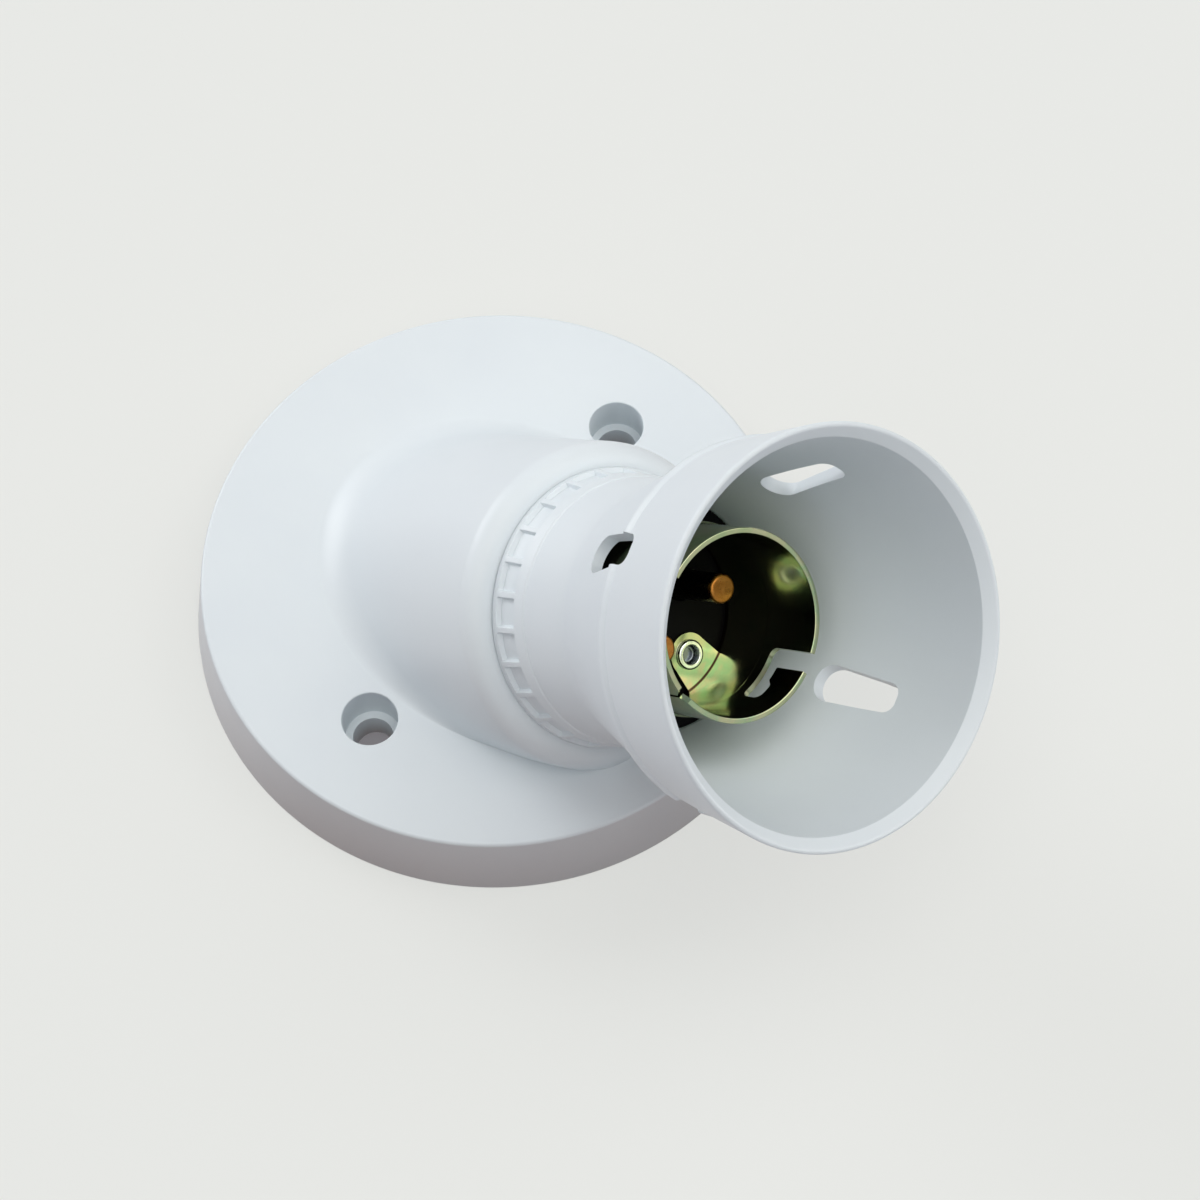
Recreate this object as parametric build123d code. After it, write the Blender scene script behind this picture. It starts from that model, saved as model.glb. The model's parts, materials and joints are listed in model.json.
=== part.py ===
from build123d import *

import math
import os

# Angled bayonet batten lampholder: a flanged base with a slanted spout, a lamp insert and a screw-on skirt

# Base flange, lying on its back with the origin at the centre of the back plane
flange_height = 10.8
flange_top_r = 39.4
flange_back_r = 41.1
flange_wall = 2.6
flange_edge = 0.5

# Fixing holes, counterbored from the front, on the Y axis
fixing_spacing = 54.0
fixing_hole_r = 2.7
fixing_head_r = 3.7
fixing_head_depth = 6.1
fixing_boss_wall = 2.2

# Spout, along the lamp axis: lengths on it start where the axis crosses the back plane
lean = 45.0
axis_back_x = -3.7
spout_r = 21.3
spout_wall = 2.7
spout_length = 32.4
shoulder_round = 2.8
root_flare = 2.3
root_flare_rise = 3.2
root_flare_side_share = 0.6
root_flare_front_share = -2.5
collar_clearance = 0.5

# Threaded nose that carries the skirt and seats the insert
nose_r = 15.3
nose_wall = 2.27
nose_length = 8.1

# Running and seating gaps
thread_gap = 0.06
slide_gap = 0.05
spigot_gap = 0.08
seat_gap = 0.05
skirt_foot_gap = 0.15

# Skirt: neck and ribbed collar, then a flare up to a bead, then the bell
skirt_wall = 1.64
neck_length = 14.8
flare_length = 16.7
flare_round = 9.0
bell_length = 14.9
bell_wall = 2.0
bead_r = 22.8
bead_stand = 0.45
bead_width = 2.0
mouth_r = 25.2
lip_bevel = 1.3
lip_land = 0.6
lip_round = 0.4
throat_lip = 0.5
throat_depth = 0.7
collar_length = 5.65
collar_stand = 1.15
collar_step = 0.2
collar_foot_rim = 1.0
collar_top_rim = 1.7
rib_count = 25
rib_width = 0.9
rib_height = 0.6
rib_phase = 1.3

# Vent slots through the flare and the bell
slot_count = 4
slot_phase = 19.1
slot_width = 4.9
slot_mouth_width = 3.8
slot_start = 22.1
slot_length = 12.2
slot_corner = 1.5

# Insert disc, clamped between nose and skirt, and the tower under it
disc_thick = 3.0
spigot_depth = 3.0
tower_wall = 1.5
insert_clock = -6.0

# Bayonet barrel, rolled from sheet: a gauged upper part and a slightly wider foot
barrel_bore_r = 11.2
barrel_sheet = 0.7
barrel_height = 19.0
barrel_seat_depth = 2.0
barrel_gauge = 9.5
barrel_foot_wider = 0.25
barrel_foot_slope = 0.4
seam_slit = 0.35
seam_notch = 1.3
seam_angle = 275.0

# Bayonet slots: entry, turn and the hooked end where the lamp's pin rests
pin_slot_width = 2.5
pin_slot_depth = 6.6
pin_slot_turn = 25.3
pin_hook_r = 1.38
pin_hook_rise = 0.8

# Barrel tabs and the semi-tubular rivets through them
tab_turn = 6.5
tab_width = 6.7
tab_nose_r = 2.8
tab_hole_pitch_r = 7.65
eyelet_shank_r = 1.55
eyelet_bore_r = 1.2
eyelet_bore_depth = 1.3
eyelet_head_r = 1.95
eyelet_head = 0.55
eyelet_head_round = 0.33
eyelet_mouth_round = 0.22
eyelet_foot_r = 1.95
eyelet_foot = 0.4
eyelet_gap = 0.05
eyelet_seat_depth = 3.0

# Plungers, springs and terminals, one set on each side of the axis
plunger_pitch_r = 5.74
plunger_r = 1.9
plunger_stand = 7.0
plunger_tip_round = 0.45
plunger_collar_r = 2.8
plunger_collar = 1.2
terminal_cover = 4.0
terminal_wall = 1.05
terminal_length = 18.0
terminal_bore_depth = 10.0
spring_wire_r = 0.3
spring_turns = 5
spring_end_gap = 0.05
spring_side_gap = 0.2
wire_hole_r = 1.5
wire_hole_depth = 6.5
screw_r = 1.5
screw_rise = 3.8
screw_head_r = 2.4
screw_head = 1.3
screw_drive_width = 0.8
screw_drive_depth = 0.7
screw_gap = 0.1

# Lamp frame: Z runs out of the mouth along the lamp axis, X lies in the plane of the lean
lean_sin = math.sin(math.radians(lean))
lean_cos = math.cos(math.radians(lean))
lean_tan = math.tan(math.radians(lean))
lamp = Plane(
    origin=(axis_back_x, 0, 0),
    x_dir=(lean_cos, 0, -lean_sin),
    z_dir=(lean_sin, 0, lean_cos),
)

# Stations along the lamp axis
seat = spout_length + nose_length
disc_top = seat + disc_thick
barrel_floor = disc_top - barrel_seat_depth
rim = barrel_floor + barrel_height
skirt_foot = spout_length + skirt_foot_gap
throat_start = disc_top + seat_gap
throat_end = throat_start + throat_depth
flare_start = spout_length + neck_length
bead_at = flare_start + flare_length
mouth = bead_at + bell_length
pocket_top = disc_top - terminal_cover
terminal_top = pocket_top - slide_gap
terminal_foot = terminal_top - terminal_length
screw_at = terminal_foot + screw_rise

# Radii that follow from the fits
nose_bore_r = nose_r - nose_wall
spigot_r = nose_bore_r - spigot_gap
skirt_bore_r = nose_r + thread_gap
neck_r = skirt_bore_r + skirt_wall
collar_r = neck_r + collar_stand
collar_top_r = neck_r + collar_step
throat_r = nose_r - throat_lip
terminal_bore_r = plunger_collar_r + slide_gap
terminal_r = terminal_bore_r + terminal_wall
tower_r = terminal_r + slide_gap + tower_wall
barrel_foot_r = barrel_bore_r + barrel_foot_wider

# Reach of cutters past the face they leave, and past the whole part
over = 2.0
far = 100.0


def profile(points, rounds=()):
    """Face of (radius, station) points in the XZ plane, with (point, radius) corners rounded."""
    face = make_face(Polyline(*points, close=True))
    for point, radius in rounds:
        corner = face.vertices().sort_by_distance(Vector(*point))[0]
        face = fillet(corner, radius)
    return Plane.XZ * face


def turned(points, rounds=(), arc=360.0):
    """Solid of revolution about Z."""
    return revolve(profile(points, rounds), Axis.Z, revolution_arc=arc)


def rod(radius, start, end):
    """Plain cylinder between two stations."""
    return Pos(0, 0, start) * Cylinder(radius, end - start, align=(Align.CENTER, Align.CENTER, Align.MIN))


def about(angle, shape):
    """Turn a shape about Z."""
    return Rot(0, 0, angle) * shape


def sideways(radius, start, end, station):
    """Cylinder along local X from one radius to another, at a station."""
    return Pos(start, 0, station) * Rot(0, 90, 0) * Cylinder(
        radius, end - start, align=(Align.CENTER, Align.CENTER, Align.MIN)
    )


def upright(radius, x, y, start, end):
    """Vertical cylinder of the base's own frame."""
    return Pos(x, y, 0) * rod(radius, start, end)


def root_flare_body():
    """Concave foot that blends the spout into the flange and fades out towards the front."""
    rises = (-1.0, 0.0, 0.1, 0.25, 0.5, 1.0)
    sections = []
    for rise in rises:
        share = 1 - math.sqrt(1 - (1 - max(rise, 0.0)) ** 2)
        offset = -slide_gap if rise == rises[-1] else root_flare * share
        front = offset * root_flare_front_share
        middle = axis_back_x + (flange_height + max(rise, 0.0) * root_flare_rise) * lean_tan
        outline = Ellipse(
            spout_r / lean_cos + (offset + front) / 2,
            spout_r + offset * root_flare_side_share,
        )
        level = flange_height + (rise * root_flare_rise if rise > 0 else rise * flange_wall / 2)
        sections.append(Pos(middle + (front - offset) / 2, 0, level) * outline)
    return loft(sections, ruled=True)


def base_moulding():
    """Flange, slanted spout and threaded nose in one moulding, hollow from the back."""
    ceiling = flange_height - flange_wall
    top_edge = (flange_top_r, flange_height)
    flange = turned([(0, 0), (flange_back_r, 0), top_edge, (0, flange_height)], [(top_edge, flange_edge)])

    spout_edge = (spout_r, spout_length)
    spout = turned(
        [(0, -far), (spout_r, -far), spout_edge, (0, spout_length)],
        [(spout_edge, shoulder_round)],
    )
    behind_shoulder = rod(far, -far, spout_length - shoulder_round)
    above_ceiling = rod(far, ceiling, far)
    body = flange + (lamp.location * spout & above_ceiling)
    body += root_flare_body() & lamp.location * behind_shoulder
    body -= lamp.location * rod(collar_r + collar_clearance, spout_length, far)
    body += lamp.location * rod(nose_r, spout_length - spout_wall, seat)

    taper = (flange_back_r - flange_top_r) / flange_height
    inner_r = flange_back_r - flange_wall
    hollow = turned(
        [
            (0, -over),
            (inner_r + over * taper, -over),
            (inner_r - ceiling * taper, ceiling),
            (0, ceiling),
        ]
    )
    chamber = rod(spout_r - spout_wall, -far, spout_length - spout_wall) + rod(nose_bore_r, 0, seat + over)
    cavity = hollow + (lamp.location * chamber & rod(far, -over, far))
    for side in (1, -1):
        y = side * fixing_spacing / 2
        cavity -= upright(fixing_head_r + fixing_boss_wall, 0, y, -over, flange_height)
    body -= cavity
    for side in (1, -1):
        y = side * fixing_spacing / 2
        body -= upright(fixing_hole_r, 0, y, -over, flange_height)
        body -= upright(fixing_head_r, 0, y, flange_height - fixing_head_depth, flange_height + over)
    return body


def skirt():
    """Ribbed collar, neck, flare and bell in one moulding."""
    collar_end = skirt_foot + collar_length
    flare_corner = (neck_r, flare_start)
    bead_corner = (bead_r, bead_at)
    lip_corner = (mouth_r, mouth)
    inner_flare = (bead_r - bell_wall, bead_at)
    inner_lip = (mouth_r - lip_land - lip_bevel, mouth - lip_bevel)
    body = turned(
        [
            (skirt_bore_r, skirt_foot),
            (collar_r, skirt_foot),
            (collar_top_r, collar_end),
            (neck_r, collar_end + collar_step),
            flare_corner,
            bead_corner,
            lip_corner,
            (mouth_r - lip_land, mouth),
            inner_lip,
            inner_flare,
            (throat_r, throat_end),
            (throat_r, throat_start),
            (skirt_bore_r, throat_start),
        ],
        [(flare_corner, flare_round), (lip_corner, lip_round), (inner_flare, flare_round)],
    )
    bead = revolve(
        Plane.XZ * Pos(bead_r + bead_stand - bead_width / 2, bead_at) * Circle(bead_width / 2), Axis.Z
    )
    return body + bead - collar_pockets() - vent_slots()


def collar_pockets():
    """Recesses between the grip ribs of the tapered collar."""
    start = skirt_foot + collar_foot_rim
    end = skirt_foot + collar_length - collar_top_rim
    taper = (collar_r - collar_top_r) / collar_length
    start_r = collar_r - taper * collar_foot_rim - rib_height
    end_r = collar_top_r + taper * collar_top_rim - rib_height
    ring = turned([(start_r, start), (collar_r + over, start), (collar_r + over, end), (end_r, end)])
    rib = Pos(collar_r, 0, (start + end) / 2) * Box(over * 3, rib_width, end - start + over)
    step = 360 / rib_count
    ribs = [about(rib_phase + step * index, rib) for index in range(rib_count)]
    return ring - ribs


def vent_slots():
    """Slots cut square to the lamp axis, round at the throat end and narrower and squarer at the mouth end."""
    round_at = spout_length + slot_start + slot_width / 2
    end = spout_length + slot_start + slot_length
    half = slot_mouth_width / 2
    outline = make_face(
        Polyline((round_at, -slot_width / 2), (end, -half), (end, half), (round_at, slot_width / 2), close=True)
    )
    outline = fillet(outline.vertices().group_by(Axis.X)[-1], slot_corner)
    outline += Pos(round_at, 0) * Circle(slot_width / 2)
    radial = Plane(origin=(barrel_bore_r, 0, 0), x_dir=(0, 0, 1), z_dir=(1, 0, 0))
    cutter = extrude(radial * outline, mouth_r)
    step = 360 / slot_count
    return [about(slot_phase + step * index, cutter) for index in range(slot_count)]


def contact_block():
    """Moulded disc with a recess for the barrel, a locating spigot and an oblong tower for both terminals."""
    disc = rod(nose_r, seat, disc_top) + rod(spigot_r, seat - spigot_depth, seat)
    outline = SlotOverall(2 * (plunger_pitch_r + tower_r), 2 * tower_r, rotation=90)
    block = disc + Pos(0, 0, terminal_foot) * extrude(outline, seat - terminal_foot)
    below = terminal_foot - over
    above = disc_top + over
    block -= rod(barrel_foot_r + barrel_sheet + slide_gap, barrel_floor, above)
    pocket = rod(terminal_r + slide_gap, below, pocket_top) + rod(plunger_r + slide_gap, below, above)
    well = rod(eyelet_foot_r + eyelet_gap, below, barrel_floor - eyelet_seat_depth)
    well += rod(eyelet_shank_r + eyelet_gap, below, above)
    window = sideways(screw_head_r + screw_gap, plunger_pitch_r, nose_r, screw_at)
    for side in (0, 180):
        block -= about(side, Pos(0, plunger_pitch_r, 0) * pocket)
        block -= about(side + tab_turn, Pos(tab_hole_pitch_r, 0, 0) * well)
        block -= about(side + 90, window)
    return about(insert_clock, block)


def bayonet_barrel():
    """Rolled barrel with J-slots, a seam and two tabs turned in at the foot."""
    step_at = rim - barrel_gauge
    foot_top = step_at - barrel_foot_slope
    wall = turned(
        [
            (barrel_foot_r, barrel_floor),
            (barrel_foot_r + barrel_sheet, barrel_floor),
            (barrel_foot_r + barrel_sheet, foot_top),
            (barrel_bore_r + barrel_sheet, step_at),
            (barrel_bore_r + barrel_sheet, rim),
            (barrel_bore_r, rim),
            (barrel_bore_r, step_at),
            (barrel_foot_r, foot_top),
        ]
    )
    root = barrel_foot_r + barrel_sheet / 2
    tongue = make_face(
        Polyline(
            (tab_hole_pitch_r, -tab_nose_r),
            (root, -tab_width / 2),
            (root, tab_width / 2),
            (tab_hole_pitch_r, tab_nose_r),
            close=True,
        )
    )
    tongue &= Circle(root)
    tongue += Pos(tab_hole_pitch_r, 0) * Circle(tab_nose_r)
    tongue -= Pos(tab_hole_pitch_r, 0) * Circle(eyelet_shank_r + eyelet_gap)
    tab = Pos(0, 0, barrel_floor) * extrude(tongue, barrel_sheet)
    for side in (0, 180):
        wall += about(side + tab_turn, tab)
        wall -= about(side, pin_slot())
    seam_reach = barrel_bore_r + barrel_sheet / 2
    slit = Pos(seam_reach, 0, barrel_floor - over) * Box(
        over, seam_slit, barrel_height + 2 * over, align=(Align.CENTER, Align.CENTER, Align.MIN)
    )
    notch = Pos(seam_reach, 0, rim) * Rot(45, 0, 0) * Box(over, seam_notch, seam_notch)
    wall -= about(seam_angle, slit + notch)
    return about(insert_clock, wall)


def pin_slot():
    """One J-slot, drawn at the hooked end and turned back to its entry."""
    inside = barrel_bore_r - over
    outside = barrel_bore_r + over
    half = pin_slot_width / 2
    level = rim - pin_slot_depth
    middle = (inside + outside) / 2
    entry = Pos(middle, 0, level) * Box(
        outside - inside, pin_slot_width, pin_slot_depth + over, align=(Align.CENTER, Align.CENTER, Align.MIN)
    )
    entry += sideways(half, inside, outside, level)
    run = turned(
        [(inside, level - half), (outside, level - half), (outside, level + half), (inside, level + half)],
        arc=pin_slot_turn,
    )
    end = sideways(half, inside, outside, level)
    hook = sideways(pin_hook_r, inside, outside, level + pin_hook_rise)
    return about(pin_slot_turn, entry) + run + end + hook


def barrel_eyelet():
    """Semi-tubular rivet with a rolled head on the tab and a foot let into the spigot."""
    top = barrel_floor + barrel_sheet
    foot = barrel_floor - eyelet_seat_depth
    bore_end = top + eyelet_head - eyelet_bore_depth
    head_corner = (eyelet_head_r, top + eyelet_head)
    mouth_corner = (eyelet_bore_r, top + eyelet_head)
    body = turned(
        [
            (0, foot - eyelet_foot),
            (eyelet_foot_r, foot - eyelet_foot),
            (eyelet_foot_r, foot),
            (eyelet_shank_r, foot),
            (eyelet_shank_r, top),
            (eyelet_head_r, top),
            head_corner,
            mouth_corner,
            (eyelet_bore_r, bore_end),
            (0, bore_end),
        ],
        [(head_corner, eyelet_head_round), (mouth_corner, eyelet_mouth_round)],
    )
    return about(tab_turn, Pos(tab_hole_pitch_r, 0, 0) * body)


def plunger():
    """Stepped brass pin, stopped by its collar under the disc."""
    tip = (plunger_r, disc_top + plunger_stand)
    body = turned(
        [
            (0, terminal_top - plunger_collar),
            (plunger_collar_r, terminal_top - plunger_collar),
            (plunger_collar_r, terminal_top),
            (plunger_r, terminal_top),
            tip,
            (0, disc_top + plunger_stand),
        ],
        [(tip, plunger_tip_round)],
    )
    return Pos(0, plunger_pitch_r, 0) * body


def plunger_spring():
    """Helical spring between the plunger's collar and the bottom of the terminal's bore."""
    upper = terminal_top - plunger_collar - spring_end_gap - spring_wire_r
    lower = terminal_top - terminal_bore_depth + spring_end_gap + spring_wire_r
    coil_r = terminal_bore_r - spring_side_gap - spring_wire_r
    height = upper - lower
    coil = Helix(pitch=height / spring_turns, height=height, radius=coil_r)
    section = Plane(origin=coil @ 0, z_dir=coil % 0) * Circle(spring_wire_r)
    return Pos(0, plunger_pitch_r, lower) * sweep(section, path=coil, is_frenet=True)


def terminal():
    """Brass post: upper bore for spring and plunger, lower bore for the wire, cross hole for the screw."""
    post = rod(terminal_r, terminal_foot, terminal_top)
    post -= rod(terminal_bore_r, terminal_top - terminal_bore_depth, terminal_top + over)
    post -= rod(wire_hole_r, terminal_foot - over, terminal_foot + wire_hole_depth)
    post -= about(90, sideways(screw_r + slide_gap, 0, terminal_r + over, screw_at))
    return Pos(0, plunger_pitch_r, 0) * post


def terminal_screw():
    """Slotted clamp screw, pointing at the axis through the terminal's side."""
    head_seat = plunger_pitch_r + terminal_r + slide_gap
    screw = sideways(screw_r, plunger_pitch_r + wire_hole_r + slide_gap, head_seat, screw_at)
    head = sideways(screw_head_r, head_seat, head_seat + screw_head, screw_at)
    drive = Pos(head_seat + screw_head, 0, screw_at) * Box(
        2 * screw_drive_depth, 2 * screw_head_r + over, screw_drive_width
    )
    return about(90, screw + head - drive)


def paired(name, shape):
    """The piece at the insert's clock angle and its twin across the axis."""
    return {f"{name}_{index + 1}": about(insert_clock + 180 * index, shape) for index in range(2)}


def build():
    """Every node by name, in the part's own frame."""
    on_lamp = {"skirt": skirt(), "contact_block": contact_block(), "bayonet_barrel": bayonet_barrel()}
    on_lamp |= paired("barrel_eyelet", barrel_eyelet())
    on_lamp |= paired("plunger", plunger())
    on_lamp |= paired("plunger_spring", plunger_spring())
    on_lamp |= paired("terminal", terminal())
    on_lamp |= paired("terminal_screw", terminal_screw())
    nodes = {name: lamp.location * shape for name, shape in on_lamp.items()}
    nodes["base_moulding"] = base_moulding()
    return nodes


if __name__ == "__main__":
    os.makedirs("parts", exist_ok=True)
    for node, shape in build().items():
        export_step(shape, f"parts/{node}.step")
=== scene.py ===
"""Angled batten lampholder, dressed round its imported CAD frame.

Smooth mouldings, finishes, light and camera.
"""

import json
import logging
import math
from dataclasses import dataclass, field
from enum import Enum

import bmesh
import bpy
import numpy as np
from mathutils import Matrix, Vector
from numpy.typing import NDArray


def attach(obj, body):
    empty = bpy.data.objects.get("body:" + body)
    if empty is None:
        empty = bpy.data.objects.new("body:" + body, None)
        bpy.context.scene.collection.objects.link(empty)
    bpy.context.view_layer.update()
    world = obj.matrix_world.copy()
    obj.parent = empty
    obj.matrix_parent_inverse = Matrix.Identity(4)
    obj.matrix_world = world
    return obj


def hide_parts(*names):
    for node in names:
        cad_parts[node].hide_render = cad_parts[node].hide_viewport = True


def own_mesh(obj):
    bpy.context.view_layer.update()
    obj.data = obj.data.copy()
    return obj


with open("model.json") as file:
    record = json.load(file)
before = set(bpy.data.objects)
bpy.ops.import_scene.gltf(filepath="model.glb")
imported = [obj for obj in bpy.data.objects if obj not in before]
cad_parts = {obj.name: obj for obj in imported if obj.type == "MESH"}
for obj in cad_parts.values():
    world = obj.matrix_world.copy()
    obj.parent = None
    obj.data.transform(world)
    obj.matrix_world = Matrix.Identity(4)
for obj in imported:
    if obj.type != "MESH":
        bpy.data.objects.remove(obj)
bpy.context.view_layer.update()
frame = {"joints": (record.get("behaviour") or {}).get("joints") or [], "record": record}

log = logging.getLogger("lampholder")

Array = NDArray[np.float64]
Colour = tuple[float, float, float]
Corner = tuple[float, float, float]
Span = tuple[float, float]
Socket = bpy.types.NodeSocket

MM = 0.001
SIDES = (0, 1)


class Join(Enum):
    """How one closed surface acts on another."""

    ADD = "UNION"
    CUT = "DIFFERENCE"
    KEEP = "INTERSECT"


@dataclass
class Surface:
    """A closed surface in millimetres.

    Args:
        points: vertex places, shape (n, 3).
        faces: vertex numbers of each face.
    """

    points: Array
    faces: list[list[int]]

    def moved(self, x: float = 0.0, y: float = 0.0, z: float = 0.0) -> "Surface":
        """The same surface, shifted."""
        return Surface(self.points + np.array([x, y, z]), self.faces)

    def turned(self, degrees: float) -> "Surface":
        """The same surface, turned about Z."""
        c, s = math.cos(math.radians(degrees)), math.sin(math.radians(degrees))
        return Surface(self.points @ np.array([[c, s, 0], [-s, c, 0], [0, 0, 1]]), self.faces)

    def laid(self) -> "Surface":
        """The same surface with its Z axis laid along X."""
        x, y, z = self.points.T
        return Surface(np.stack([z, y, -x], axis=1), self.faces)

    def on_lamp(self) -> "Surface":
        """The same surface, taken from the lamp's frame to the row frame."""
        return Surface(LAMP.to_row(self.points), self.faces)


def joint(name: str) -> dict:
    """What the frame says of a joint."""
    return next(j for j in frame["joints"] if j["name"] == name)


@dataclass(frozen=True)
class LampAxis:
    """The leaning axis: Z runs out of the mouth, X lies in the plane of the lean, lengths are in millimetres.

    Args:
        origin: where the axis crosses the back plane, in millimetres.
        out: unit vector along the axis.
    """

    origin: tuple[float, float, float]
    out: tuple[float, float, float]

    @classmethod
    def from_joint(cls, name: str) -> "LampAxis":
        """The axis of a hinge of the frame."""
        hinge = joint(name)
        return cls(tuple(p / MM for p in hinge["pos_m"]), tuple(hinge["axis"]))

    @property
    def lean(self) -> float:
        """Angle between the axis and the upright, in radians."""
        return math.atan2(self.out[0], self.out[2])

    def to_row(self, points: Array) -> Array:
        """Lamp-frame points as row-frame points.

        Args:
            points: shape (..., 3).

        Returns:
            The same points in the row frame, still in millimetres.
        """
        side = np.array([self.out[2], 0.0, -self.out[0]])
        basis = np.stack([side, np.array([0.0, 1.0, 0.0]), np.array(self.out)])
        return points @ basis + np.array(self.origin)

    def station_on_level(self, x: Array, level: float) -> Array:
        """Station at which the line at lamp-frame X meets a level plane of the row frame."""
        return (level + x * math.sin(self.lean)) / math.cos(self.lean)


LAMP = LampAxis.from_joint("skirt_turn")


def smooth_step(value: Array) -> Array:
    """Cubic ease from 0 to 1 over the unit interval."""
    t = np.clip(value, 0.0, 1.0)
    return t * t * (3 - 2 * t)


def past_edge(distance: Array, width: float) -> Array:
    """Eased step over an edge: 0 half a width before it, 1 half a width after."""
    return smooth_step(distance / width + 0.5)


def around(count: int) -> Array:
    """Evenly spaced angles of a full turn, in radians."""
    return np.linspace(0.0, 2 * math.pi, count, endpoint=False)


def polar(radius: Array | float, angles: Array, station: Array | float) -> Array:
    """Points at a radius, angle and station about Z, each spread over the others."""
    flat = np.broadcast_arrays(radius * np.cos(angles), radius * np.sin(angles), station)
    return np.stack(flat, axis=-1)


def rounded(corners: list[Corner], steps: int = 6, closed: bool = False) -> Array:
    """A polyline whose corners are arcs.

    Each corner is (x, y, radius). The arc's centre lies on the bisector of the two runs, its radius over the
    sine of half the corner's angle away, and its ends are the points where it touches the runs.

    Args:
        corners: corner points with their radii, 0 for a sharp one.
        steps: spans on each arc.
        closed: whether the last corner joins the first.

    Returns:
        Points, shape (n, 2).
    """
    places = np.array([c[:2] for c in corners])
    out = []
    for index, (x, y, radius) in enumerate(corners):
        end_point = not closed and index in (0, len(corners) - 1)
        if radius <= 0 or end_point:
            out.append(np.array([[x, y]]))
            continue
        here = places[index]
        back = places[index - 1] - here
        ahead = places[(index + 1) % len(corners)] - here
        back /= np.linalg.norm(back)
        ahead /= np.linalg.norm(ahead)
        half = math.acos(float(np.clip(back @ ahead, -1, 1))) / 2
        middle = (back + ahead) / np.linalg.norm(back + ahead)
        centre = here + middle * radius / math.sin(half)
        start = math.atan2(*(here + back * radius / math.tan(half) - centre)[::-1])
        stop = math.atan2(*(here + ahead * radius / math.tan(half) - centre)[::-1])
        sweep = (stop - start + math.pi) % (2 * math.pi) - math.pi
        angle = start + sweep * np.linspace(0, 1, steps + 1)
        out.append(centre + radius * np.stack([np.cos(angle), np.sin(angle)], axis=1))
    return np.concatenate(out)


def divided(outline: Array, longest: float) -> Array:
    """The same closed polyline with its long runs split.

    Args:
        outline: points, shape (n, 2); the last joins the first.
        longest: longest run that is left whole.

    Returns:
        Points, shape (m, 2).
    """
    runs = np.roll(outline, -1, axis=0) - outline
    counts = np.maximum(1, np.ceil(np.linalg.norm(runs, axis=1) / longest)).astype(int)
    which = np.repeat(np.arange(len(counts)), counts)
    share = (np.arange(len(which)) - np.repeat(np.cumsum(counts) - counts, counts)) / counts[which]
    return outline[which] + runs[which] * share[:, None]


def skin(rows: Array, ring: bool = False) -> Surface:
    """Closed skin over rows of points that go round.

    Args:
        rows: points, shape (rows, round, 3); each row closes on itself.
        ring: whether the last row joins the first; if not, both ends get a flat cap.

    Returns:
        The closed surface.
    """
    count, turn = rows.shape[:2]
    index = np.arange(count * turn).reshape(count, turn)
    lower = index if ring else index[:-1]
    upper = np.roll(index, -1, axis=0) if ring else index[1:]
    quads = np.stack([lower, np.roll(lower, -1, axis=1), np.roll(upper, -1, axis=1), upper], axis=-1)
    faces = quads.reshape(-1, 4).tolist()
    if not ring:
        faces.append(index[0, ::-1].tolist())
        faces.append(index[-1].tolist())
    return Surface(rows.reshape(-1, 3), faces)


def lathe(profile: Array, angles: Array, ring: bool = False) -> Surface:
    """Solid of revolution about Z: each (radius, station) point is carried round all angles."""
    return skin(polar(profile[:, :1], angles, profile[:, 1:]), ring)


def rod(radius: float, start: float, end: float, sides: int) -> Surface:
    """Plain cylinder about Z between two stations."""
    return lathe(np.array([[radius, start], [radius, end]]), around(sides))


def prism(outline: Array, start: float, end: float) -> Surface:
    """An outline in X and Y carried straight along Z."""
    rows = [np.column_stack([outline, np.full(len(outline), z)]) for z in (start, end)]
    return skin(np.array(rows))


def half_circle(centre: float, radius: float, count: int = 33) -> Array:
    """Points of half a circle about a place on X, on the side of lesser X."""
    angle = np.linspace(math.pi / 2, 3 * math.pi / 2, count)
    return np.stack([centre + radius * np.cos(angle), radius * np.sin(angle)], axis=1)


def slot_outline(length: float, width: float, steps: int = 24) -> Array:
    """Oblong with round ends along Y: a half circle about each end's centre.

    Args:
        length: over both ends.
        width: across the oblong.
        steps: spans on each half circle.

    Returns:
        Points, shape (n, 2).
    """
    reach = (length - width) / 2
    angle = np.linspace(0, math.pi, steps + 1)
    arc = np.stack([np.cos(angle), np.sin(angle)], axis=1) * width / 2
    return np.concatenate([arc + [0, reach], -arc - [0, reach]])


def tube_along(path: Array, radius: float, sides: int) -> Surface:
    """Round wire along a path: a circle in each point's own cross plane, found from the path's tangent and Z.

    Args:
        path: points, shape (n, 3).
        radius: of the wire.
        sides: points on each circle.

    Returns:
        The wire with flat ends.
    """
    tangent = np.gradient(path, axis=0)
    tangent /= np.linalg.norm(tangent, axis=1, keepdims=True)
    across = np.cross(tangent, [0.0, 0.0, 1.0])
    across /= np.linalg.norm(across, axis=1, keepdims=True)
    upward = np.cross(across, tangent)
    angle = around(sides)[None, :, None]
    return skin(path[:, None] + radius * (np.cos(angle) * across[:, None] + np.sin(angle) * upward[:, None]))


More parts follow.
